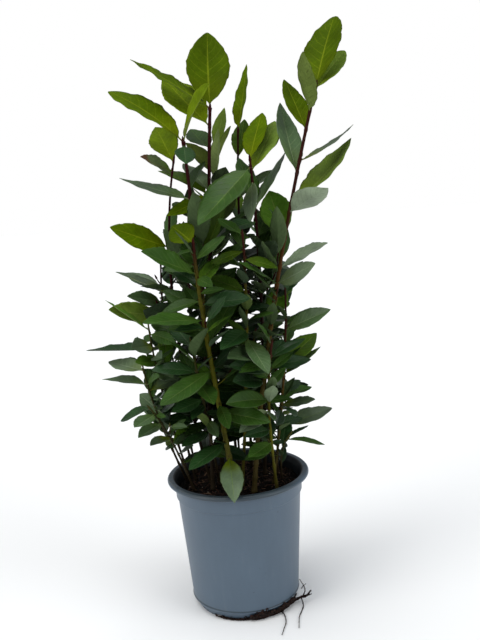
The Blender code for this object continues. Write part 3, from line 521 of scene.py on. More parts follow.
def growLeaf(name, wish, byHand=False):
    grown, girth = plan[name], girthAt(shoots[name]["girth"], wish["share"])
    placeLeaf(name, grown["bow"], girth, wish, grown["chance"], byHand)


def growPlan():
    # stems first, then the listed leaves, the twigs, and the rule's leaves where there is room
    growLimbs()
    for name, shoot in shoots.items():
        for wish in shoot["placed"]:
            growLeaf(name, wish, True)
    for name, shoot in shoots.items():
        if shoot.get("twigs"):
            growTwig(name, shoot, twigSizes)
    for name, shoot in shoots.items():
        bow = plan[name]["bow"]
        wishes = ruleLeaves(bow, shoot["clothed"], shoot["longest"], shoot["turn"], plan[name]["chance"])
        for taken in shoot["placed"]:
            nearest = min(wishes, key=lambda wish: abs(wish["share"] - taken["share"]))
            if abs(nearest["share"] - taken["share"]) * bow.length < leafRule["spacing"]:
                wishes.remove(nearest)
        for wish in wishes:
            backward = math.sin(math.radians(wish["heading"])) > leafRule["backward"]
            if wish["share"] <= shoot.get("setFrom", 1.0) or backward:
                growLeaf(name, wish)


def finerTwig(name, shoot, share, look, chance):
    # a thin twig of the same kind between the leaves, with three small leaves
    grown, heading = plan[name], chance.uniform(0, 360)
    start = grown["bow"].at(share)
    if start[2] > look["twigsTo"]:
        return
    outward = headed(heading, chance.uniform(*look["twigClimb"])) * look["twigReach"]
    twig = Bow(start, start + outward * 0.6, start + outward + upright * 0.006)
    places, radii = axisStations(twig, look["twigGirth"], 0.0)
    tested = places[2:], radii[2:] + look["twigRoom"]
    if outsideCrown(twig.tip, look["reach"]) or not addTwig(name, twig, (places, radii), tested):
        return
    index = len(grown["twigs"]) - 1
    grown["fineTwigs"].add(index)
    for step, along in enumerate(look["twigLeaves"]):
        side = 0 if step == 2 else look["twigTurn"] * (-1) ** step
        wish = leafWish(along, heading + side, chance.uniform(*look["twigRise"]),
                        shoot["longest"] * chance.uniform(*look["twigSizes"]))
        placeLeaf(name, twig, look["twigGirth"][0], wish, chance, reach=look["reach"], twig=index)


def growFiner(look):
    # the same rule again with small twigs and small leaves, which fill the crown and keep within it
    for name, shoot in shoots.items():
        bow, chance, first = plan[name]["bow"], random.Random(f"finer {name}"), shoot["clothed"]
        for share in look["twigShares"]:
            share += chance.uniform(-look["twigSpread"], look["twigSpread"])
            finerTwig(name, shoot, share, look, chance)
        count = round(bow.length * (1 - first) / look["spacing"])
        for index in range(count):
            share = first + (look["last"] - first) * index / count
            if bow.at(share)[2] > look["leavesTo"]:
                break
            heading = shoot["turn"] + look["turn"] + leafRule["turn"] * index
            heading += chance.uniform(-look["turnSpread"], look["turnSpread"])
            length = shoot["longest"] * chance.uniform(*look["sizes"])
            wish = leafWish(share, heading, chance.uniform(*look["rise"]), length)
            placeLeaf(name, bow, girthAt(shoot["girth"], share), wish, chance, reach=look["reach"])


finerGrowth = dict(
    spacing=0.0125, sizes=(0.42, 0.72), rise=(-20, 55), turn=68, turnSpread=25, last=0.96, leavesTo=0.47,
    reach=0.88, twigShares=(0.30, 0.44, 0.60), twigSpread=0.04, twigsTo=0.42, twigReach=0.020,
    twigClimb=(0.4, 1.1), twigGirth=(0.0009, 0.0007), twigRoom=0.0004, twigLeaves=(0.5, 0.8, 1.0),
    twigSizes=(0.45, 0.68), twigRise=(-5, 45), twigTurn=60)
growPlan()
print("grown:", sum(len(grown["leaves"]) for grown in plan.values()), "leaves")
growFiner(finerGrowth)
print("with finer growth:", sum(len(grown["leaves"]) for grown in plan.values()), "leaves")

# ---- shader helpers


class Signal:
    # an output inside a shader, with which sums read as plain arithmetic
    def __init__(self, socket):
        self.socket, self.tree = socket, socket.id_data

    def __add__(self, other):
        return maths("ADD", self, other)

    def __sub__(self, other):
        return maths("SUBTRACT", self, other)

    def __mul__(self, other):
        return maths("MULTIPLY", self, other)


class Outputs:
    # a node's outputs as signals
    def __init__(self, node):
        self.node = node

    def __getitem__(self, key):
        return Signal(self.node.outputs[key])


def fill(socket, value):
    # links a signal, or sets a plain value; a colour is given as three numbers
    if isinstance(value, Signal):
        value.tree.links.new(value.socket, socket)
    else:
        socket.default_value = (*value, 1.0) if socket.type == "RGBA" else value


def addNode(tree, kind, inputs=None, **settings):
    made = tree.nodes.new(f"ShaderNode{kind}")
    for key, value in settings.items():
        setattr(made, key, value)
    for key, value in (inputs or {}).items():
        fill(made.inputs[key], value)
    return Outputs(made)


def maths(operation, *values):
    inputs = dict(enumerate(values))
    return addNode(values[0].tree, "Math", inputs, operation=operation)[0]


def vectorMaths(operation, *values):
    inputs = dict(enumerate(values))
    return addNode(values[0].tree, "VectorMath", inputs, operation=operation)


def axesOf(vector):
    parts = addNode(vector.tree, "SeparateXYZ", {0: vector})
    return parts[0], parts[1], parts[2]


def attribute(tree, name):
    return addNode(tree, "Attribute", attribute_name=name)["Fac"]


def fade(signal, low, high, start=0.0, end=1.0):
    # a smooth step of the signal from start at low to end at high
    inputs = {"Value": signal, "From Min": low, "From Max": high, "To Min": start, "To Max": end}
    return addNode(signal.tree, "MapRange", inputs, interpolation_type="SMOOTHSTEP")[0]


def blend(factor, first, second):
    inputs = {0: factor, 6: first, 7: second}
    return addNode(factor.tree, "Mix", inputs, data_type="RGBA")[2]


def shaded(colour, shade):
    # the colour with its brightness multiplied by shade
    return addNode(shade.tree, "HueSaturation", {"Color": colour, "Value": shade})[0]


def stretched(place, upward):
    # the place with its heights drawn out
    inputs = {"Vector": place, "Scale": (1.0, 1.0, upward)}
    return addNode(place.tree, "Mapping", inputs)[0]


def bump(height, strength, distance):
    inputs = {"Height": height, "Strength": strength, "Distance": distance}
    return addNode(height.tree, "Bump", inputs)[0]


def newGroup(name, inputs, outputs):
    group = bpy.data.node_groups.new(name, "ShaderNodeTree")
    for key, (kind, value) in inputs.items():
        socket = group.interface.new_socket(name=key, in_out="INPUT", socket_type=f"NodeSocket{kind}")
        if value is not None:
            socket.default_value = value
    for key in outputs:
        group.interface.new_socket(name=key, in_out="OUTPUT", socket_type="NodeSocketFloat")
    given, put = group.nodes.new("NodeGroupInput"), group.nodes.new("NodeGroupOutput")
    return group, Outputs(given), put.inputs


def makeBladeVeins():
    # midrib: near the middle of the blade; veins: lines where pairs (b - slant x^1.25) + half is whole;
    # margin: close to the blade's edge
    inputs = {"Map": ("Vector", None), "Pairs": ("Float", 9.0), "Slant": ("Float", 0.22)}
    group, given, put = newGroup("bladeVeins", inputs, ("Midrib", "Veins", "Margin"))
    across, along = axesOf(given["Map"])[:2]
    side = across * 2.0 - 1.0
    out = maths("ABSOLUTE", side)
    ribEdge = maths("MAXIMUM", along * -0.040 + 0.068, 0.026)
    fill(put["Midrib"], fade(maths("DIVIDE", out, ribEdge), 0.55, 1.1, 1.0, 0.0))
    run = along - maths("POWER", out, 1.25) * given["Slant"]
    half = maths("GREATER_THAN", side, 0.0) * 0.5
    turn = maths("FRACT", run * given["Pairs"] + half)
    line = fade(maths("ABSOLUTE", turn - 0.5), 0.03, 0.12, 1.0, 0.0)
    fill(put["Veins"], line * fade(out, 0.72, 0.96, 1.0, 0.0) * fade(run, 0.0, 0.06))
    fill(put["Margin"], fade(out, 0.90, 0.985))
    return group


def makeMottle():
    # shade = 1 + spread (2 noise - 1)
    inputs = {"Vector": ("Vector", None), "Scale": ("Float", 60.0), "Spread": ("Float", 0.15),
              "Detail": ("Float", 3.0)}
    group, given, put = newGroup("mottle", inputs, ("Shade", "Noise"))
    used = {key: given[key] for key in ("Vector", "Scale", "Detail")}
    noise = addNode(group, "TexNoise", used)[0]
    fill(put["Shade"], (noise * 2.0 - 1.0) * given["Spread"] + 1.0)
    fill(put["Noise"], noise)
    return group


bladeVeins = makeBladeVeins()
mottle = makeMottle()


def mottled(place, scale, spread, detail):
    inputs = {"Vector": place, "Scale": scale, "Spread": spread, "Detail": detail}
    return addNode(place.tree, "Group", inputs, node_tree=mottle)


def startMaterial(name, constants):
    # gives a material with constant sockets set, the place on its object and its shader's inputs
    material = bpy.data.materials.new(name)
    material.use_nodes = True
    shader = material.node_tree.nodes["Principled BSDF"].inputs
    for key, value in constants.items():
        fill(shader[key], value)
    return material, addNode(material.node_tree, "TexCoord")["Object"], shader


# ---- leaves

# linear colours of the upper face, its base, the underside and the veins; how rough, and how shiny
# soft, pale and hanging paint a sheen of the sky into the grey-blue of their upper faces, and sunny is a lit
# copy of young with the same painted sheen
leafTints = dict(
    young=dict(top=(0.066, 0.112, 0.001), base=(0.092, 0.128, 0.001), under=(0.140, 0.185, 0.036),
               vein=(0.150, 0.190, 0.006), gloss=0.50, sheen=0.02),
    golden=dict(top=(0.100, 0.154, 0.003), base=(0.112, 0.160, 0.002), under=(0.150, 0.195, 0.036),
                vein=(0.165, 0.215, 0.008), gloss=0.50, sheen=0.03),
    ripe=dict(top=(0.046, 0.079, 0.001), base=(0.062, 0.092, 0.001), under=(0.110, 0.150, 0.034),
              vein=(0.120, 0.155, 0.006), gloss=0.48, sheen=0.02),
    green=dict(top=(0.062, 0.140, 0.012), base=(0.074, 0.150, 0.010), under=(0.110, 0.160, 0.040),
               vein=(0.120, 0.180, 0.030), gloss=0.44, sheen=0.06),
    sunny=dict(top=(0.110, 0.170, 0.022), base=(0.118, 0.172, 0.010), under=(0.150, 0.200, 0.060),
               vein=(0.165, 0.220, 0.040), gloss=0.46, sheen=0.05),
    bright=dict(top=(0.041, 0.087, 0.003), base=(0.058, 0.102, 0.003), under=(0.085, 0.125, 0.032),
                vein=(0.098, 0.150, 0.014), gloss=0.42, sheen=0.09),
    mature=dict(top=(0.026, 0.067, 0.008), base=(0.034, 0.076, 0.008), under=(0.055, 0.088, 0.032),
                vein=(0.066, 0.115, 0.022), gloss=0.35, sheen=0.17),
    dusky=dict(top=(0.011, 0.037, 0.008), base=(0.014, 0.041, 0.008), under=(0.036, 0.062, 0.027),
               vein=(0.036, 0.068, 0.022), gloss=0.30, sheen=0.22),
    soft=dict(top=(0.048, 0.092, 0.030), base=(0.058, 0.104, 0.020), under=(0.120, 0.165, 0.090),
              vein=(0.115, 0.165, 0.070), gloss=0.38, sheen=0.40),
    pale=dict(top=(0.105, 0.150, 0.080), base=(0.115, 0.160, 0.060), under=(0.200, 0.250, 0.165),
              vein=(0.170, 0.220, 0.130), gloss=0.44, sheen=0.28),
    hanging=dict(top=(0.068, 0.103, 0.052), base=(0.100, 0.138, 0.003), under=(0.100, 0.130, 0.040),
                 vein=(0.084, 0.130, 0.040), gloss=0.36, sheen=0.30),
    scorched=dict(top=(0.088, 0.120, 0.046), base=(0.062, 0.110, 0.012), under=(0.120, 0.165, 0.090),
                  vein=(0.100, 0.070, 0.024), gloss=0.42, sheen=0.20, scorch=0.85),
)
leafMottle = dict(broad=(38.0, 0.55, 2.0), fine=(300.0, 0.24, 4.0))
stalkTint = (0.075, 0.030, 0.008)
scorchTint = (0.080, 0.022, 0.010)
backRough = 0.66
# the tint of each listed leaf, in its shoot's order
# hanging and pale are also given to leaves that sit in shade, to paint light on them
handTints = dict(
    front="ripe mature green mature mature mature mature dusky hanging",
    middle_left="young golden dusky soft bright",
    tallest_left="ripe ripe golden mature pale bright ripe pale",
    middle_back="sunny sunny",
    middle_right="young bright bright",
    right="young mature sunny pale mature soft dusky",
    tallest_right="ripe sunny ripe ripe hanging soft sunny pale green soft pale mature green green",
    front_middle="mature dusky soft hanging mature",
    left="golden scorched mature young hanging",
    outer_left="soft soft sunny green",
    lower_left="green hanging dusky green",
    low_left="pale soft hanging",
    skirt_left="dusky soft soft hanging green",
    lower_right="mature soft bright bright",
    low_right="mature hanging hanging",
    skirt_right="dusky mature dusky",
    front_low="dusky mature dusky",
    front_right_low="soft pale mature mature",
)
ruleTints = {("right", 10): "mature", ("tallest_left", 11): "mature", ("front", 46): "mature"}
# leaves left out where the sky shows between the shoots
openPlaces = dict(left=(14, 15, 18, 19, 21), lower_right=(10, 17, 23, 25), right=(13,), middle_left=(5,),
                  front=(23,), back_left=(10,), low_back_right=(17,))
leafLook = dict(columns=(1, 0.84, 0.60, 0.34, 0.10, 0, -0.10, -0.34, -0.60, -0.84, -1),
                waves=(2.5, 4.5), waveHeight=(0.003, 0.011), twist=22, fold=(7, 22),
                cup=(-0.08, 0.15), sway=0.016, groove=0.00035, rib=0.0007, wander=0.035,
                slim=(0.80, 1.0), widest=(0.86, 1.06), blunt=(0.74, 0.92))
# rows of faces, ripples of the edge, how deep they go, and how bright, from the crown's middle outwards:
# painted shade that darkens the leaves towards the crown's middle
handLook = dict(leafLook, rows=40, ripples=(6.0, 9.0), notch=0.030, slim=(0.94, 1.0), dim=(1.10, 1.40))
ruleLook = dict(leafLook, rows=18, ripples=(3.0, 4.5), notch=0.022, dim=(0.46, 1.24))
bluntLeaves = {("tallest_right", 0): 0.62, ("tallest_right", 1): 0.70, ("tallest_left", 0): 0.76}
archedLeaves = {("tallest_right", 6): -30, ("tallest_right", 4): -24, ("middle_left", 1): 30}


def leafMaterial(name, tint):
    material, place, shader = startMaterial(name, {"Specular IOR Level": tint["sheen"]})
    broad, fine = mottled(place, *leafMottle["broad"]), mottled(place, *leafMottle["fine"])
    leafMap = addNode(place.tree, "UVMap", uv_map="leafMap")[0]
    bend = vectorMaths("MULTIPLY", broad["Noise"], (0.0, leafLook["wander"], 0.0))[0]
    bent = vectorMaths("ADD", leafMap, bend)[0]
    veins = addNode(place.tree, "Group", {"Map": bent}, node_tree=bladeVeins)
    along = axesOf(leafMap)[1]
    wavy = broad["Noise"] * 0.5 + along - 0.25
    face = blend(fade(wavy, 0.10, 0.50), tint["base"], tint["top"])
    face = blend(veins["Veins"] * fade(broad["Noise"], 0.35, 0.65, 0.12, 0.34), face, tint["vein"])
    # the pale midrib, and a pale rim at the edge that is partly the edge's own tone and partly a painted
    # highlight
    pale = maths("MAXIMUM", veins["Midrib"] * 0.90, veins["Margin"] * 0.55)
    face = blend(pale, face, tint["vein"])
    back = blend(veins["Veins"] * 0.35, tint["under"], [0.6 * part for part in tint["under"]])
    back = blend(veins["Midrib"] * 0.7, back, [1.15 * part for part in tint["under"]])
    top = maths("GREATER_THAN", attribute(place.tree, "upper"), 0.5)
    colour = blend(top, back, face)
    burnt = fade(veins["Margin"] * 0.25 + wavy, 0.72, 0.86)
    colour = blend(burnt * tint.get("scorch", 0.0), colour, scorchTint)
    colour = blend(fade(along, -0.03, 0.02, 0.75, 0.0), colour, stalkTint)
    # dim carries each leaf's brightness, with the painted shade of the crown's middle
    shade = broad["Shade"] * fine["Shade"] * attribute(place.tree, "dim")
    fill(shader["Base Color"], shaded(colour, shade))
    rough = top * (tint["gloss"] - backRough) + broad["Noise"] * 0.36 + fine["Noise"] * 0.12
    fill(shader["Roughness"], rough + (backRough - 0.18))
    relief = fine["Noise"] * 0.35 - veins["Veins"] * 0.6 - veins["Midrib"] * 0.5
    fill(shader["Normal"], bump(relief, 0.55, 0.0005))
    return material


def leafShell(wish, look, chance, blunt=None, light=0.5):
    # a closed loop of (v, side) round the midrib: left v half + above (fold |v| + cup v^2 + waves) and
    # thickness, with half = 0.53 broad length slim sin(pi b^widest)^blunt (1 + notch ripples)
    # stations crowd towards both ends of the blade, and start on the stalk
    stalk = leafRule["stalkShare"] / (1 + leafRule["stalkShare"])
    even = np.linspace(0, 1, look["rows"] + 1)
    blade = 0.6 * (0.5 - 0.5 * np.cos(np.pi * even)) + 0.4 * even
    blade[-1] = 0.996
    blade = np.concatenate([np.linspace(-stalk / (1 - stalk), 0, 5)[:-1], blade])
    places, forward, across = midrib(wish, stalk + (1 - stalk) * blade)
    upward = np.cross(forward, across)
    inner = np.clip(blade, 0, 1)
    length = wish["length"]
    twist = chance.uniform(-look["twist"], look["twist"])
    lean = np.radians(wish["lean"] + twist * (inner - 0.5))[:, None]
    left = across * np.cos(lean) + upward * np.sin(lean)
    above = upward * np.cos(lean) - across * np.sin(lean)
    sway = chance.uniform(-look["sway"], look["sway"]) * length
    places = places + left * (sway * np.sin(np.pi * inner))[:, None]

    # how wide and how raised the blade is at each column, over and under
    top = np.array(look["columns"], float)
    v = np.concatenate([top, -top[1:-1]])
    over = np.concatenate([np.ones(len(top)), -np.ones(len(top) - 2)])
    b = inner[:, None]
    slow, quick = (np.where(v > 0, anyPhase(chance), anyPhase(chance)) for wave in range(2))
    ripple = 2 * np.pi * chance.uniform(*look["waves"]) * b + slow
    quickly = 2 * np.pi * chance.uniform(*look["ripples"])
    edge = np.sin(quickly * b + quick) * (0.2 + 0.8 * np.sin(0.37 * quickly * b + slow) ** 2)
    edge = edge + 0.4 * np.sin(1.7 * quickly * b + 2.3 * slow)
    slim, widest, power = (chance.uniform(*look[key]) for key in ("slim", "widest", "blunt"))
    half = 0.53 * wish["broad"] * length * slim * np.sin(np.pi * b ** widest) ** (blunt or power)
    wide = v * half * (1 + look["notch"] * (edge - 1) * np.abs(v) ** 3)
    fold = math.radians(chance.uniform(*look["fold"])) * (1 - 0.5 * b)
    raised = np.sin(fold) * half * (np.sqrt(v * v + 0.015) - 0.12)
    raised = raised + chance.uniform(*look["cup"]) * half * v * v
    waveHeight = chance.uniform(*look["waveHeight"]) * length * np.sqrt(np.sin(np.pi * b))
    raised = raised + waveHeight * np.abs(v) ** 2.5 * (np.sin(ripple) + 0.45 * edge)
    thick = 0.5 * leafRule["thickness"] * length * (1 - 0.35 * b) * (1 - v * v)
    raised = raised + over * thick * 0.6
    middle = np.exp(-(v / 0.06) ** 2) * (1 - 0.8 * b)
    raised = raised - middle * np.where(over > 0, look["groove"], look["rib"])

    # the stalk is a round rod that flattens into the blade
    angles = np.pi * np.arange(len(v)) / (len(top) - 1)
    taper = smoothStep(-0.1, -0.02, blade)[:, None]
    stalkHalf = wish["rootGirth"] * (1 - taper) + leafRule["stalkGirth"] * taper
    flat = smoothStep(-0.015, 0.11, blade)[:, None]
    wide = np.cos(angles) * stalkHalf * (1 - flat) + wide * flat
    raised = np.sin(angles) * stalkHalf * (1 - flat) + raised * flat
    grid = places[:, None] + left[:, None] * wide[..., None] + above[:, None] * raised[..., None]
    spread = np.zeros(wide.shape)
    upper = np.where(np.abs(v) == 1, 0.5, np.where(over > 0, 1.0, 0.0))
    # each leaf's brightness, which for the rule's leaves is painted shade, darker towards the crown's middle
    dark, bright = look["dim"]
    dim = dark + (bright - dark) * (0.75 * light + 0.25 * chance.random())
    leafMap = np.stack([0.5 + 0.5 * v + spread, blade[:, None] + spread], -1)
    return dict(grid=grid, leafMap=leafMap, upper=upper + spread, dim=dim + spread)


# ---- limbs

limbLook = dict(sides=14, step=0.0032, slender=0.92, ridge=0.05, ridgeTwist=0.03, swell=0.30,
                swellLength=0.0020, scarSpacing=0.019, wander=0.0004, wanderLength=0.021,
                axilBud=0.0034, axilGirth=0.0008, twigScars=(0.45, 0.63, 0.81))
barkMottle = dict(spots=(160.0, 0.35, 4.0), streaks=(1500.0, 0.30, 3.0))
poreTint = (0.11, 0.075, 0.045)
# each bark's tints from the foot up to the tip
barkTints = dict(
    oliveBark=((0.0, (0.056, 0.046, 0.009)), (0.30, (0.092, 0.092, 0.005)), (0.74, (0.060, 0.052, 0.005)),
               (0.92, (0.034, 0.006, 0.004))),
    rustyBark=((0.0, (0.044, 0.032, 0.009)), (0.35, (0.062, 0.048, 0.008)), (0.56, (0.078, 0.031, 0.007)),
               (0.74, (0.030, 0.006, 0.003))),
    maroonBark=((0.0, (0.020, 0.014, 0.007)), (0.35, (0.022, 0.010, 0.005)), (0.58, (0.021, 0.002, 0.002)),
                (1.0, (0.028, 0.002, 0.003))),
    thinBark=((0.0, (0.024, 0.016, 0.009)), (0.5, (0.030, 0.024, 0.008)), (0.85, (0.038, 0.038, 0.008)),
              (1.0, (0.050, 0.050, 0.010))),
)
barkOf = dict(front="oliveBark", front_middle="oliveBark", front_right_low="oliveBark",
              tallest_right="rustyBark", lower_right="rustyBark")


def barkMaterial(name, stops):
    material, place, shader = startMaterial(name, {"Specular IOR Level": 0.07})
    drawn = stretched(place, 0.22)
    spots, streaks = mottled(place, *barkMottle["spots"]), mottled(drawn, *barkMottle["streaks"])
    along = spots["Noise"] * 0.16 + attribute(place.tree, "along") - 0.08
    ramp = addNode(place.tree, "ValToRGB", {"Fac": along})
    elements = ramp.node.color_ramp.elements
    while len(elements) < len(stops):
        elements.new(0.5)
    for element, (position, colour) in zip(elements, stops):
        element.position, element.color = position, (*colour, 1.0)
    colour = shaded(ramp[0], spots["Shade"] * streaks["Shade"])
    cells = addNode(place.tree, "TexVoronoi", {"Vector": drawn, "Scale": 420.0})
    pore = fade(cells["Distance"], 0.10, 0.22, 1.0, 0.0)
    fill(shader["Base Color"], blend(pore * 0.25, colour, poreTint))
    fill(shader["Roughness"], spots["Noise"] * 0.25 + 0.42)
    fill(shader["Normal"], bump(pore * 0.5 + streaks["Noise"], 0.5, 0.0004))
    return material


def limbShell(bow, girth, shares, look, chance, foot=True):
    # radius = girth + flare + a swelling at each leaf + ridges that wind round; a bud stands at the tip
    count = max(10, round(bow.length / look["step"]))
    along = np.linspace(0, 1, count + 1) ** (1.12 if foot else 1.0)
    places = bow.at(along)
    radii = girthAt(girth, along) * look["slender"]
    if foot:
        low = np.maximum(0.0, 1 - (places[:, 2] - bow.foot[2]) / limbSizes["flareHeight"])
        radii = radii * (1 + (limbSizes["flare"] - 1) * low * low)
    knots = np.array(shares)[:, None]
    swell = np.exp(-((along - knots) * bow.length / look["swellLength"]) ** 2).sum(0)
    radii = radii * (1 + look["swell"] * np.minimum(swell, 1.0))
    waves = np.sin(along * bow.length / look["wanderLength"] + anyPhase(chance))
    drift = look["wander"] * waves * (along > 0.02)
    places = places + drift[:, None] * np.cross(bow.way(0.5), upright + 0.1)
    budSteps = np.array([0.2, 0.45, 0.7, 0.9, 0.98])
    places = np.vstack([places, bow.tip + bow.way(1.0) * limbSizes["budLength"] * budSteps[:, None]])
    radii = np.concatenate([radii, budGirth(girth) * np.sin(np.pi * (0.30 + 0.69 * budSteps)) ** 0.8])
    along = np.concatenate([along, np.ones(len(budSteps))])
    winding = along[:, None] * bow.length / look["ridgeTwist"]
    ridges = 1 + look["ridge"] * np.sin(3 * ringAngles(look["sides"]) + winding + anyPhase(chance))
    grid = sweep(places, radii[:, None] * ridges, look["sides"], foot)
    return dict(grid=grid, along=np.broadcast_to(along[:, None], grid.shape[:2]))


def axilBud(bow, girth, wish, look):
    # a small pointed bud: radius = girth sin(pi (0.15 + 0.85 t)) up from the angle of leaf and shoot
    t = np.array([0.0, 0.2, 0.45, 0.7, 0.9, 1.0])
    outward = headed(wish["heading"])
    way = unit(bow.way(wish["share"]) + 0.55 * outward)
    base = bow.at(wish["share"]) + outward * girthAt(girth, wish["share"]) * 0.7
    places = base + way * (look["axilBud"] * t[:, None] + 0.0006)
    grid = sweep(places, look["axilGirth"] * np.sin(np.pi * (0.15 + 0.84 * t)) ** 0.9, 7)
    return dict(grid=grid, along=np.full(grid.shape[:2], 0.9))


# ---- meshes


crispAngle = math.radians(40)


def makePiece(name, shells, materials, replaced=(), crisp=False):
    # joins closed shells of rings into one mesh, with their tints, maps and attributes
    points, faces, tints, start = [], [], [], 0
    extras = {key: [] for key in shells[0] if key not in ("grid", "tint")}
    for shell in shells:
        quads, fans = shellFaces(*shell["grid"].shape[:2])
        points.append(withPoles(shell["grid"]))
        for key in extras:
            values = shell[key] if shell[key].ndim == 3 else shell[key][..., None]
            extras[key].append(withPoles(values))
        faces += (quads + start).tolist() + (fans + start).tolist()
        tints += [shell.get("tint", 0)] * (len(quads) + len(fans))
        start += len(points[-1])
    mesh = bpy.data.meshes.new(name)
    mesh.from_pydata(np.vstack(points).tolist(), [], faces)
    for material in materials:
        mesh.materials.append(material)
    mesh.polygons.foreach_set("material_index", tints)
    corners = np.empty(len(mesh.loops), np.int32)
    mesh.loops.foreach_get("vertex_index", corners)
    for key, values in extras.items():
        values = np.vstack(values)
        if values.shape[1] == 2:
            mesh.uv_layers.new(name=key).data.foreach_set("uv", values[corners].ravel())
        else:
            mesh.attributes.new(key, "FLOAT", "POINT").data.foreach_set("value", values[:, 0])
    mesh.shade_smooth()
    if crisp:
        mesh.set_sharp_from_angle(angle=crispAngle)
    piece = bpy.data.objects.new(name, mesh)
    scene.collection.objects.link(piece)
    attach(piece, "root")
    if replaced:
        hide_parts(*replaced)
    return piece


# how many of the rule's leaves have each tint, from this height up
tintShares = dict(
    high=(0.545, dict(young=0.45, green=0.30, bright=0.25)),
    upper=(0.455, dict(green=0.14, bright=0.34, mature=0.52)),
    middle=(0.340, dict(green=0.05, bright=0.07, mature=0.58, dusky=0.30)),
    low=(0.0, dict(green=0.05, soft=0.10, mature=0.48, dusky=0.37)),
)


def tintFor(height, chance):
    shares = next(shares for low, shares in tintShares.values() if height >= low)
    return chance.choices(list(shares), list(shares.values()))[0]


def howFarOut(wish):
    # 0 for a leaf that ends at the crown's middle, 1 for one that ends at its outside
    end = wish["start"][:2] + 0.7 * wish["length"] * headed(wish["heading"])[:2]
    out = float(np.linalg.norm((end - crown["middle"]) / crownHalf(wish["start"][2])))
    return min(1.0, max(0.0, (out - 0.25) / 0.6))


def shootBlades(name, grown, chance):
    # every leaf of a shoot with its tint, without those left out
    tintNames, given, blades = list(leafTints), handTints.get(name, "").split(), []
    for index, wish in enumerate(grown["leaves"]):
        key, byHand = (name, index), index < len(given)
        look = handLook if byHand else ruleLook
        # a rule leaf's brightness follows how far out it ends, as painted shade towards the crown's middle
        light = chance.random() if byHand else howFarOut(wish)
        wish = dict(wish, arch=archedLeaves.get(key, wish["arch"]))
        blade = leafShell(wish, look, chance, bluntLeaves.get(key), light)
        height = blade["grid"][len(blade["grid"]) // 2].mean(0)[2]
        tint = given[index] if byHand else tintFor(height, chance)
        if index not in openPlaces.get(name, ()):
            blades.append(dict(blade, tint=tintNames.index(ruleTints.get(key, tint))))
    return blades


def shootLimbs(shoot, grown, chance):
    # the stem with its leaf scars and buds, and the side twigs
    bow, girth = grown["bow"], shoot["girth"]
    own = [wish for wish in grown["leaves"] if "twig" not in wish]
    shares = [wish["share"] for wish in own]
    scars = np.arange(0.04, min(shares), limbLook["scarSpacing"] / bow.length)
    shells = [limbShell(bow, girth, list(scars) + shares, limbLook, chance)]
    shells += [axilBud(bow, girth, wish, limbLook) for wish in own]
    for index, twig in enumerate(grown["twigs"]):
        thin = finerGrowth["twigGirth"] if index in grown["fineTwigs"] else twigSizes["girth"]
        shells.append(limbShell(twig, thin, limbLook["twigScars"], limbLook, chance, False))
    return shells


def addShoots():
    leafMaterials = [leafMaterial(f"{name}Leaf", tint) for name, tint in leafTints.items()]
    barkMaterials = {name: barkMaterial(name, tint) for name, tint in barkTints.items()}
    for name, shoot in shoots.items():
        grown, chance = plan[name], random.Random(f"look {name}")
        height = shoot["tip"][2]
        bark = barkOf.get(name) or ("maroonBark" if height > 0.43 else "thinBark")
        limbs = shootLimbs(shoot, grown, chance)
        makePiece(f"limb_{name}", limbs, [barkMaterials[bark]], (f"stem_{name}",))
        slotName = "young_leaves" if height > 0.55 else "leaves"
        blades = shootBlades(name, grown, chance)
        makePiece(f"leaves_{name}", blades, leafMaterials, (f"shoot_{name}",))


addShoots()
print("shoots made:", len(shoots))

# ---- compost

compostLook = dict(rings=44, sides=140, lumps=0.0016, lumpSize=0.010, crumbs=0.0010, crumbSize=0.0026,
                   chips=1300, chipLength=(0.003, 0.024), chipHalf=(0.00025, 0.0009), chipTilt=(-0.22, 0.22),
                   chipBend=(-0.08, 0.12), chipTints=(0.60, 0.31, 0.09), chipMargin=0.006,
                   specks=26, speckSize=(0.0004, 0.0011), speckReach=0.070, speckLumps=0.25, seed=12)


def valueNoise(spots, size, seed):
    # random heights on a square lattice, joined by smooth steps; from -1 to 1
    lattice = np.random.default_rng(seed).uniform(-1, 1, (64, 64))
    scaled = spots / size
    cell = np.floor(scaled).astype(int)
    t = scaled - cell
    t = t * t * (3 - 2 * t)
    x, y = cell[..., 0] % 64, cell[..., 1] % 64
    near = lattice[x, y] * (1 - t[..., 0]) + lattice[(x + 1) % 64, y] * t[..., 0]
    far = lattice[x, (y + 1) % 64] * (1 - t[..., 0]) + lattice[(x + 1) % 64, (y + 1) % 64] * t[..., 0]
    return near * (1 - t[..., 1]) + far * t[..., 1]


def compostHeight(spots, look):
    # lumps + crumbs over the level top
    rough = look["lumps"] * valueNoise(spots, look["lumpSize"], look["seed"])
    return rough + look["crumbs"] * valueNoise(spots, look["crumbSize"], look["seed"] + 1)


def potRadius(height):
    # the wall's outer radius between heel and shoulder
    p = potSizes
    share = (height - p["heelHeight"]) / (p["shoulderHeight"] - p["heelHeight"])
    return p["heelRadius"] + (p["shoulderRadius"] - p["heelRadius"]) * share


def compostShell(look):
    p = potSizes
    inside = p["wall"] + gap
    edge = potRadius(p["shoulderHeight"]) - inside + 0.0008
    under = [(0.004, p["floor"] + gap), (p["footRadius"] - 0.0085, p["floor"] + gap),
             (p["footRadius"] - 0.0080, p["notchHeight"] + 0.002),
             (p["heelRadius"] - inside - 0.0002, p["heelHeight"] + 0.001),
             (potRadius(p["shoulderHeight"]) - inside, p["shoulderHeight"]),
             (edge, compostTop - 0.0022)]
    top = [(radius, compostTop - 0.0012) for radius in np.linspace(edge - 0.0003, 0.001, look["rings"])]
    grid = turnedRings(under + top, look["sides"])
    rough = compostHeight(grid[len(under):, :, :2], look)
    grid[len(under):, :, 2] += rough * smoothStep(edge, edge - 0.004, np.array(top)[:, 0])[:, None]
    return dict(grid=grid, tint=0)


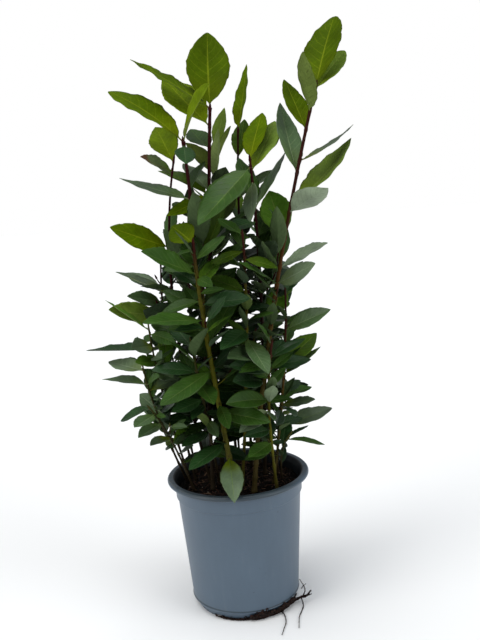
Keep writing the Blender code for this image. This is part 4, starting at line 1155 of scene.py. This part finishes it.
def chipShells(look):
    # four-sided slivers: centre + way t length / 2 + side c width + up c thickness + up bend (1 - t^2)
    chance = np.random.default_rng(look["seed"] + 2)
    count = look["chips"]
    p = potSizes
    reach = potRadius(p["shoulderHeight"]) - p["wall"] - look["chipMargin"]
    reach = reach * np.sqrt(chance.uniform(0, 1, count))
    where = chance.uniform(0, 2 * np.pi, count)
    spots = np.stack([reach * np.cos(where), reach * np.sin(where)], -1)
    lengths = chance.uniform(0, 1, count) ** 1.5
    lengths = look["chipLength"][0] + (look["chipLength"][1] - look["chipLength"][0]) * lengths
    halves = chance.uniform(*look["chipHalf"], count)
    heading = chance.uniform(0, 2 * np.pi, count)
    tilt = chance.uniform(*look["chipTilt"], count)
    ways = np.stack([np.cos(heading) * np.cos(tilt), np.sin(heading) * np.cos(tilt), np.sin(tilt)], -1)
    sides = unit(np.cross(upright, ways))
    ups = np.cross(ways, sides)
    centres = np.concatenate([spots, (compostTop - 0.0006 + compostHeight(spots, look))[:, None]], 1)
    t = np.array([-1.0, -0.4, 0.4, 1.0])
    corners = np.array([(1, 1), (-1, 1), (-1, -1), (1, -1)])
    slim = np.array([0.45, 1.0, 0.9, 0.35])
    bend = chance.uniform(*look["chipBend"], count) * lengths
    grid = (centres[:, None, None] + ways[:, None, None] * (t * lengths[:, None] / 2)[..., None, None]
            + sides[:, None, None] * (halves[:, None, None] * slim[:, None] * corners[:, 0])[..., None]
            + ups[:, None, None] * (0.45 * halves[:, None, None] * corners[:, 1])[..., None]
            + ups[:, None, None] * (bend[:, None] * (1 - t * t))[..., None, None])
    tints = chance.choice(3, count, p=look["chipTints"])
    return [dict(grid=chip, tint=int(tint)) for chip, tint in zip(grid, tints)]


def lumpyBall(centre, size, tall, shares, lump):
    # rings of radius size sin(pi t) times a lump, at heights -tall size cos(pi t) from the centre
    ring = size * np.sin(np.pi * shares)[:, None] * lump
    angles = ringAngles(lump.shape[1])
    height = centre[2] - tall * size * np.cos(np.pi * shares)[:, None] + 0 * ring
    return np.stack([centre[0] + ring * np.cos(angles), centre[1] + ring * np.sin(angles), height], -1)


def speckShells(look):
    # pale grains, a little squashed
    chance = np.random.default_rng(look["seed"] + 3)
    shares = np.array([0.08, 0.3, 0.5, 0.7, 0.92])
    shells = []
    for index in range(look["specks"]):
        size = chance.uniform(*look["speckSize"])
        reach = look["speckReach"] * math.sqrt(chance.uniform(0, 1))
        where = chance.uniform(0, 2 * np.pi)
        spot = np.array([reach * math.cos(where), reach * math.sin(where)])
        lump = 1 + look["speckLumps"] * chance.uniform(-1, 1, (5, 7))
        centre = (*spot, compostTop - 0.0003 + compostHeight(spot, look))
        shells.append(dict(grid=lumpyBall(centre, size, 0.7, shares, lump), tint=3))
    return shells


def earthMaterial(name, colour, other, rough, scale):
    material, place, shader = startMaterial(name, {"Specular IOR Level": 0.15})
    grains, patches = mottled(place, scale, 0.45, 5.0), mottled(place, scale * 0.12, 0.25, 3.0)
    tone = blend(fade(grains["Noise"], 0.45, 0.70), colour, other)
    fill(shader["Base Color"], shaded(tone, grains["Shade"] * patches["Shade"]))
    fill(shader["Roughness"], grains["Noise"] * 0.2 + rough)
    fill(shader["Normal"], bump(grains["Noise"], 0.8, 0.0008))
    return material


compostTints = dict(
    moistCompost=((0.0035, 0.0022, 0.0016), (0.010, 0.006, 0.004), 0.75, 420.0),
    darkChip=((0.005, 0.003, 0.002), (0.014, 0.008, 0.005), 0.60, 700.0),
    brownChip=((0.034, 0.015, 0.010), (0.062, 0.030, 0.018), 0.62, 700.0),
    paleChip=((0.110, 0.064, 0.040), (0.170, 0.106, 0.066), 0.68, 700.0),
    mineralGrain=((0.300, 0.270, 0.220), (0.400, 0.370, 0.310), 0.70, 900.0),
)
moist, *crumbTints = (earthMaterial(name, *tint) for name, tint in compostTints.items())
makePiece("compostBed", [compostShell(compostLook)], [moist], ("compost",))
crumbs = chipShells(compostLook) + speckShells(compostLook)
makePiece("compostChips", crumbs, crumbTints, crisp=True)
print("compost made")

# ---- pot

# the lip's dark colour is painted shade on the lip and over the heel's ridge, and the inside's near-black is
# painted shade within the pot
potLook = dict(colour=(0.077, 0.115, 0.159), dust=(0.170, 0.180, 0.182), grime=(0.028, 0.026, 0.024),
               lipTop=(0.022, 0.035, 0.043), inside=(0.008, 0.009, 0.010), rough=0.40, rounding=0.0007,
               warp=0.00025, warpTurn=0.6, warpFrom=0.05, notchDepth=0.012)
potMottle = dict(clouds=(22.0, 0.10, 3.0), streaks=(130.0, 0.05, 4.0), grain=(1400.0, 0.06, 2.0))


def potMaterial(look):
    material, place, shader = startMaterial("pottedPlastic", {"Specular IOR Level": 0.45})
    sideways, depth, height = axesOf(place)
    clouds, grain = mottled(place, *potMottle["clouds"]), mottled(place, *potMottle["grain"])
    streaks = mottled(stretched(place, 0.18), *potMottle["streaks"])
    flecks = addNode(place.tree, "TexNoise", {"Vector": place, "Scale": 260.0, "Detail": 4.0})[0]
    facing = addNode(place.tree, "NewGeometry")["Normal"]
    outward = vectorMaths("NORMALIZE", vectorMaths("MULTIPLY", place, (1.0, 1.0, 0.0))[0])[0]
    turned = vectorMaths("DOT_PRODUCT", facing, outward)["Value"]
    colour = shaded(look["colour"], clouds["Shade"] * streaks["Shade"] * grain["Shade"])
    colour = blend(fade(streaks["Noise"], 0.58, 0.85, 0.0, 0.15), colour, look["dust"])

    # the lip: painted shade on its side, heaviest at the front, painted shade in patches on its top towards
    # the front, and dust at its left end
    lipFrontShade = fade(height, 0.1635, 0.1655) * fade(depth, -0.085, -0.035, 0.85, 0.10)
    colour = blend(lipFrontShade, colour, look["lipTop"])
    onTop = fade(axesOf(facing)[2], 0.35, 0.85) * fade(height, 0.160, 0.166)
    # painted shade in patches on the lip's top, heaviest at the front
    patchyTopShade = fade(depth, -0.080, -0.030, 1.0, 0.35) * fade(clouds["Noise"], 0.35, 0.60, 0.4, 0.9)
    colour = blend(onTop * patchyTopShade, colour, look["lipTop"])
    dustyEnd = fade(sideways, -0.088, -0.050, 0.55, 0.0) * fade(flecks, 0.40, 0.60)
    colour = blend(onTop * dustyEnd, colour, look["dust"])

    # painted shade inside the pot and in the crease over the heel's ridge, and grime near the foot and on the
    # lip
    # painted shade on the inner wall, where it faces inward
    within = fade(turned, -0.55, -0.10, 0.88, 0.0) * fade(height, 0.020, 0.030)
    colour = blend(within, colour, look["inside"])
    # a thin line of painted shade in the crease over the heel's ridge
    fromRidge = maths("ABSOLUTE", height - (potSizes["heelHeight"] + 0.0017))
    colour = blend(fade(fromRidge, 0.0004, 0.0012, 0.85, 0.0), colour, look["lipTop"])
    grimy = fade(fade(height, 0.002, 0.012, 0.20, 0.0) + onTop * 0.10 + flecks, 0.70, 0.84)
    fill(shader["Base Color"], blend(grimy * 0.8, colour, look["grime"]))
    fill(shader["Roughness"], clouds["Noise"] * 0.14 + grimy * 0.3 + (look["rough"] - 0.05))
    fill(shader["Normal"], bump(grain["Noise"] * 0.5 + streaks["Noise"] * 0.6, 0.18, 0.0004))
    return material


def roundedProfile(corners, radius, steps=4):
    # each corner becomes (1-t)^2 a + 2 t (1-t) corner + t^2 b, with a and b this far along its sides
    corners = np.array(corners, float)
    t = np.linspace(0, 1, steps)[:, None]
    made = [corners[:1]]
    for before, here, after in zip(corners[:-2], corners[1:-1], corners[2:]):
        reach = [min(radius, 0.45 * np.linalg.norm(other - here)) for other in (before, after)]
        a = here + unit(before - here) * reach[0]
        b = here + unit(after - here) * reach[1]
        made.append(a * (1 - t) ** 2 + here * 2 * t * (1 - t) + b * t * t)
    return np.vstack(made + [corners[-1:]])


def potProfile(p):
    wall = p["wall"]
    rim = p["height"] - p["lipDepth"]
    return [
        (0.004, 0), (p["footRadius"] - 0.004, 0), (p["footRadius"], 0.0),
        (p["footRadius"] + 0.0030, p["heelHeight"] * 0.5),
        (p["heelRadius"] - 0.0007, p["heelHeight"] - 0.0008), (p["heelRadius"] + 0.0011, p["heelHeight"]),
        (p["heelRadius"] + 0.0002, p["heelHeight"] + 0.0018),
        (potRadius(0.060), 0.060), (potRadius(0.110), 0.110),
        (potRadius(p["shoulderHeight"]), p["shoulderHeight"]),
        (p["neckRadius"], p["shoulderHeight"] + 0.0012),
        (p["neckRadius"] + 0.0006, rim - 0.0010),
        (p["lipRadius"] - 0.0024, rim), (p["lipRadius"], rim + 0.0016),
        (p["lipRadius"], p["height"] - 0.0022), (p["lipRadius"] - 0.0020, p["height"]),
        (p["mouthRadius"] + 0.0016, p["height"] - 0.0002), (p["mouthRadius"], p["height"] - 0.0014),
        (p["neckRadius"] - wall, p["height"] - 0.0080),
        (potRadius(p["shoulderHeight"]) - wall, p["shoulderHeight"]),
        (p["heelRadius"] - wall, p["heelHeight"]), (p["footRadius"] - wall, p["floor"]),
        (0.004, p["floor"]),
    ]


def makePot(p, look):
    rings = turnedRings(roundedProfile(potProfile(p), look["rounding"]), p["sides"])
    angles = ringAngles(p["sides"])
    warp = look["warp"] * np.sin(2 * angles + look["warpTurn"])
    warp = warp * smoothStep(look["warpFrom"], p["height"], rings[..., 2])
    rings[..., 0] += warp * np.cos(angles)
    rings[..., 1] += warp * np.sin(angles)
    pot = makePiece("potShell", [dict(grid=rings)], [potMaterial(look)], ("pot",))
    corners = np.array([(x, y, z) for x in (-0.5, 0.5) for y in (-0.5, 0.5) for z in (-0.5, 0.5)])
    faces = [(0, 1, 3, 2), (4, 6, 7, 5), (0, 4, 5, 1), (2, 3, 7, 6), (0, 2, 6, 4), (1, 5, 7, 3)]
    block = corners * (look["notchDepth"], p["notchWidth"], 2 * p["notchHeight"])
    block = block + (p["footRadius"] + 0.002, 0, 0)
    cutters = []
    for index in range(p["notches"]):
        turn = Matrix.Rotation(2 * math.pi * (index + p["notchTurn"]) / p["notches"], 3, "Z")
        mesh = bpy.data.meshes.new("notch")
        mesh.from_pydata((block @ np.array(turn).T).tolist(), [], faces)
        cutter = bpy.data.objects.new("notch", mesh)
        scene.collection.objects.link(cutter)
        cut = pot.modifiers.new("notch", "BOOLEAN")
        cut.operation, cut.solver, cut.object = "DIFFERENCE", "EXACT", cutter
        cutters.append(cutter)
    finished = bpy.data.meshes.new_from_object(pot.evaluated_get(bpy.context.evaluated_depsgraph_get()))
    pot.modifiers.clear()
    pot.data = finished
    for cutter in cutters:
        bpy.data.objects.remove(cutter)
    pot.data.shade_smooth()
    pot.data.set_sharp_from_angle(angle=crispAngle)
    return pot


makePot(potSizes, potLook)
print("pot made")

# ---- roots

rootSizes = dict(span=(-130, -24), thickFrom=-84, strands=110, strandGirth=(0.00040, 0.00135), steps=30,
                 sides=7, clods=100, clodSize=(0.0008, 0.0023), clodLumps=0.30, shake=0.00045, seed=31)
# how high the mat stands at each angle
clumpHeights = ((-132, 0.0020), (-125, 0.0052), (-118, 0.0046), (-110, 0.0024), (-98, 0.0028),
                (-90, 0.0046), (-81, 0.0122), (-74, 0.0118), (-66, 0.0074), (-58, 0.0072),
                (-50, 0.0108), (-40, 0.0118), (-32, 0.0100), (-24, 0.0060))
# the roots that stand out of the mat: girth and places in tenths of a millimetre
rootsOut = dict(
    thick=(19, ((571, -330, 22), (705, -330, 80), (765, -345, 100), (815, -330, 155))),
    knot=(15, ((700, -335, 82), (745, -355, 92), (790, -350, 118))),
    fork=(8, ((775, -342, 110), (800, -340, 98), (822, -335, 112))),
    riser=(8, ((705, -335, 80), (740, -365, 180), (720, -375, 260), (675, -370, 345))),
    crossing=(6, ((692, -378, 215), (722, -374, 250), (755, -370, 272))),
    runnerRight=(8, ((690, -335, 70), (700, -440, 12), (635, -640, 12), (617, -720, 12),
                     (594, -913, 12))),
    runnerFront=(8, ((400, -540, 30), (446, -600, 12), (451, -764, 12), (415, -900, 12),
                     (379, -1029, 12))),
)


def through(places, steps):
    # a smooth curve that passes each place, with this many points from one to the next
    places = np.array(places, float)
    ends = np.vstack([2 * places[0] - places[1], places, 2 * places[-1] - places[-2]])
    t = (np.arange(steps) / steps)[:, None]
    found = [0.5 * (2 * here + (there - before) * t + (2 * before - 5 * here + 4 * there - after) * t * t
                    + (3 * here - before - 3 * there + after) * t ** 3)
             for before, here, there, after in zip(ends[:-3], ends[1:-2], ends[2:-1], ends[3:])]
    return np.vstack(found + [places[-1:]])


def besideFoot(turn, height, away):
    # a place this far out from the foot's chamfer
    p = potSizes
    slope = (p["heelRadius"] - p["footRadius"]) / p["heelHeight"]
    radius = p["footRadius"] + slope * np.minimum(height, p["heelHeight"]) + away
    return np.stack([radius * np.cos(turn), radius * np.sin(turn), height], -1)


def strandShell(heading, girth, height, out, chance, sizes):
    # a root along the foot's chamfer: it climbs, dips and thickens by slow waves and knots
    t = np.linspace(0, 1, sizes["steps"])
    turn = np.radians(heading[0] + (heading[1] - heading[0]) * t)
    up = height * (1 + 0.35 * np.sin(t * chance.uniform(8, 24) + chance.uniform(0, 6)))
    up = up + height * chance.uniform(-0.7, 0.7) * t
    up = np.maximum(up * np.sin(np.pi * (0.06 + 0.88 * t)) ** 0.3, girth * 1.6)
    away = girth + np.maximum(out + 0.0008 * np.sin(t * chance.uniform(6, 20) + chance.uniform(0, 6)), 0.0002)
    knots = 1 + 0.34 * np.sin(t * chance.uniform(20, 60) + chance.uniform(0, 6))
    taper = np.minimum(1.0, 0.25 + 5 * np.minimum(t, 1 - t))
    return dict(grid=sweep(besideFoot(turn, up, away), girth * knots * taper, sizes["sides"]))


def clodShell(turn, size, height, out, chance, sizes):
    # a crumb held in the roots
    shares = np.array([0.06, 0.25, 0.5, 0.75, 0.94])
    lump = np.array([[chance.uniform(-1, 1) for side in range(8)] for ring in shares])
    lump = 1 + sizes["clodLumps"] * lump
    centre = besideFoot(turn, max(height, size * 1.05), size + out)
    return dict(grid=lumpyBall(centre, size, 1, shares, lump))


def clumpHeight(turn):
    return np.interp(turn, *zip(*clumpHeights))


def rootShells(sizes):
    chance = random.Random(sizes["seed"])
    shells = []
    low, high = sizes["span"]
    for index in range(sizes["strands"]):
        thick = chance.random() < 0.72
        start = chance.uniform(sizes["thickFrom"] - 6, high - 10) if thick else chance.uniform(low, high - 50)
        end = min(high, start + chance.uniform(8, 30))
        height = chance.uniform(0.12, 0.85) * clumpHeight(0.5 * (start + end))
        girth = chance.uniform(*sizes["strandGirth"]) * (1.0 if thick else 0.75)
        out = chance.uniform(0.0001, 0.0022 if thick else 0.0005)
        shells.append(strandShell((start, end), girth, height, out, chance, sizes))
    for index in range(sizes["clods"]):
        thick = chance.random() < 0.7
        turn = chance.uniform(sizes["thickFrom"], high - 6) if thick else chance.uniform(low, high)
        size = chance.uniform(*sizes["clodSize"]) * (1.0 if thick else 0.5)
        height = chance.uniform(0.2, 0.95) * clumpHeight(turn)
        out = chance.uniform(0.0, 0.0014)
        shells.append(clodShell(math.radians(turn), size, height, out, chance, sizes))
    for girth, places in rootsOut.values():
        line = through(np.array(places) / 10000, 10)
        t = np.linspace(0, 1, len(line))[:, None]
        shake = np.array([[chance.uniform(-1, 1) for axis in range(3)] for step in line])
        line = line + shake * sizes["shake"] * (t > 0.15) * (line[:, 2:] > 0.002)
        t = t[:, 0]
        radii = girth / 10000 * (1 - 0.5 * t) * (1 + 0.18 * np.sin(t * 47) + 0.12 * np.sin(t * 83))
        shells.append(dict(grid=sweep(line, radii, sizes["sides"])))
    return shells


rootSkin = earthMaterial("rootSkin", (0.008, 0.004, 0.003), (0.038, 0.014, 0.009), 0.66, 520.0)
makePiece("rootMat", rootShells(rootSizes), [rootSkin], ("roots",))
print("roots made")

# ---- floor and light

studio = dict(floor=(0.94, 0.94, 0.94), sky=(0.93, 0.96, 1.0), skyStrength=0.32, seen=1.0,
              suns=dict(above=((-0.15, -0.05, 1.0), 1.6, 45, (0.98, 0.99, 1.0)),
                        left=((-1.0, -0.55, 0.70), 1.10, 36, (1.0, 0.99, 0.96)),
                        right=((1.0, -0.60, 0.60), 1.05, 40, (0.95, 0.98, 1.0))))


def addFloor(look):
    mesh = bpy.data.meshes.new("floor")
    mesh.from_pydata([(-30, -30, 0), (30, -30, 0), (30, 30, 0), (-30, 30, 0)], [], [(0, 1, 2, 3)])
    constants = {"Base Color": look["floor"], "Roughness": 0.9, "Specular IOR Level": 0.1}
    mesh.materials.append(startMaterial("paleFloor", constants)[0])
    floor = bpy.data.objects.new("floor", mesh)
    scene.collection.objects.link(floor)


def addSun(name, source, energy, wide, colour):
    # a sun whose -Z points away from its source, as wide in the sky as this many degrees
    light = bpy.data.lights.new(name, "SUN")
    light.energy, light.angle, light.color = energy, math.radians(wide), colour
    lamp = bpy.data.objects.new(name, light)
    scene.collection.objects.link(lamp)
    back = unit(np.array(source, float))
    side = unit(np.cross(upright, back))
    turned = np.eye(4)
    turned[:3, 0], turned[:3, 1], turned[:3, 2] = side, np.cross(back, side), back
    lamp.matrix_world = Matrix(turned.tolist())


def addStudio(look):
    # a dim sky lights the plant, and the eye sees it as a near-white wall
    world = bpy.data.worlds.new("studio")
    world.use_nodes = True
    tree = world.node_tree
    dim = Outputs(tree.nodes["Background"])
    fill(dim.node.inputs["Color"], look["sky"])
    fill(dim.node.inputs["Strength"], look["skyStrength"])
    seen = addNode(tree, "Background", {"Color": (1.0, 1.0, 1.0), "Strength": look["seen"]})
    direct = addNode(tree, "LightPath")["Is Camera Ray"]
    mixed = addNode(tree, "MixShader", {0: direct, 1: dim[0], 2: seen[0]})[0]
    fill(tree.nodes["World Output"].inputs["Surface"], mixed)
    scene.world = world
    for name, (source, energy, wide, colour) in look["suns"].items():
        addSun(name, source, energy, wide, colour)
    scene.view_settings.view_transform = "Standard"


addFloor(studio)
addStudio(studio)
print("floor and light set")
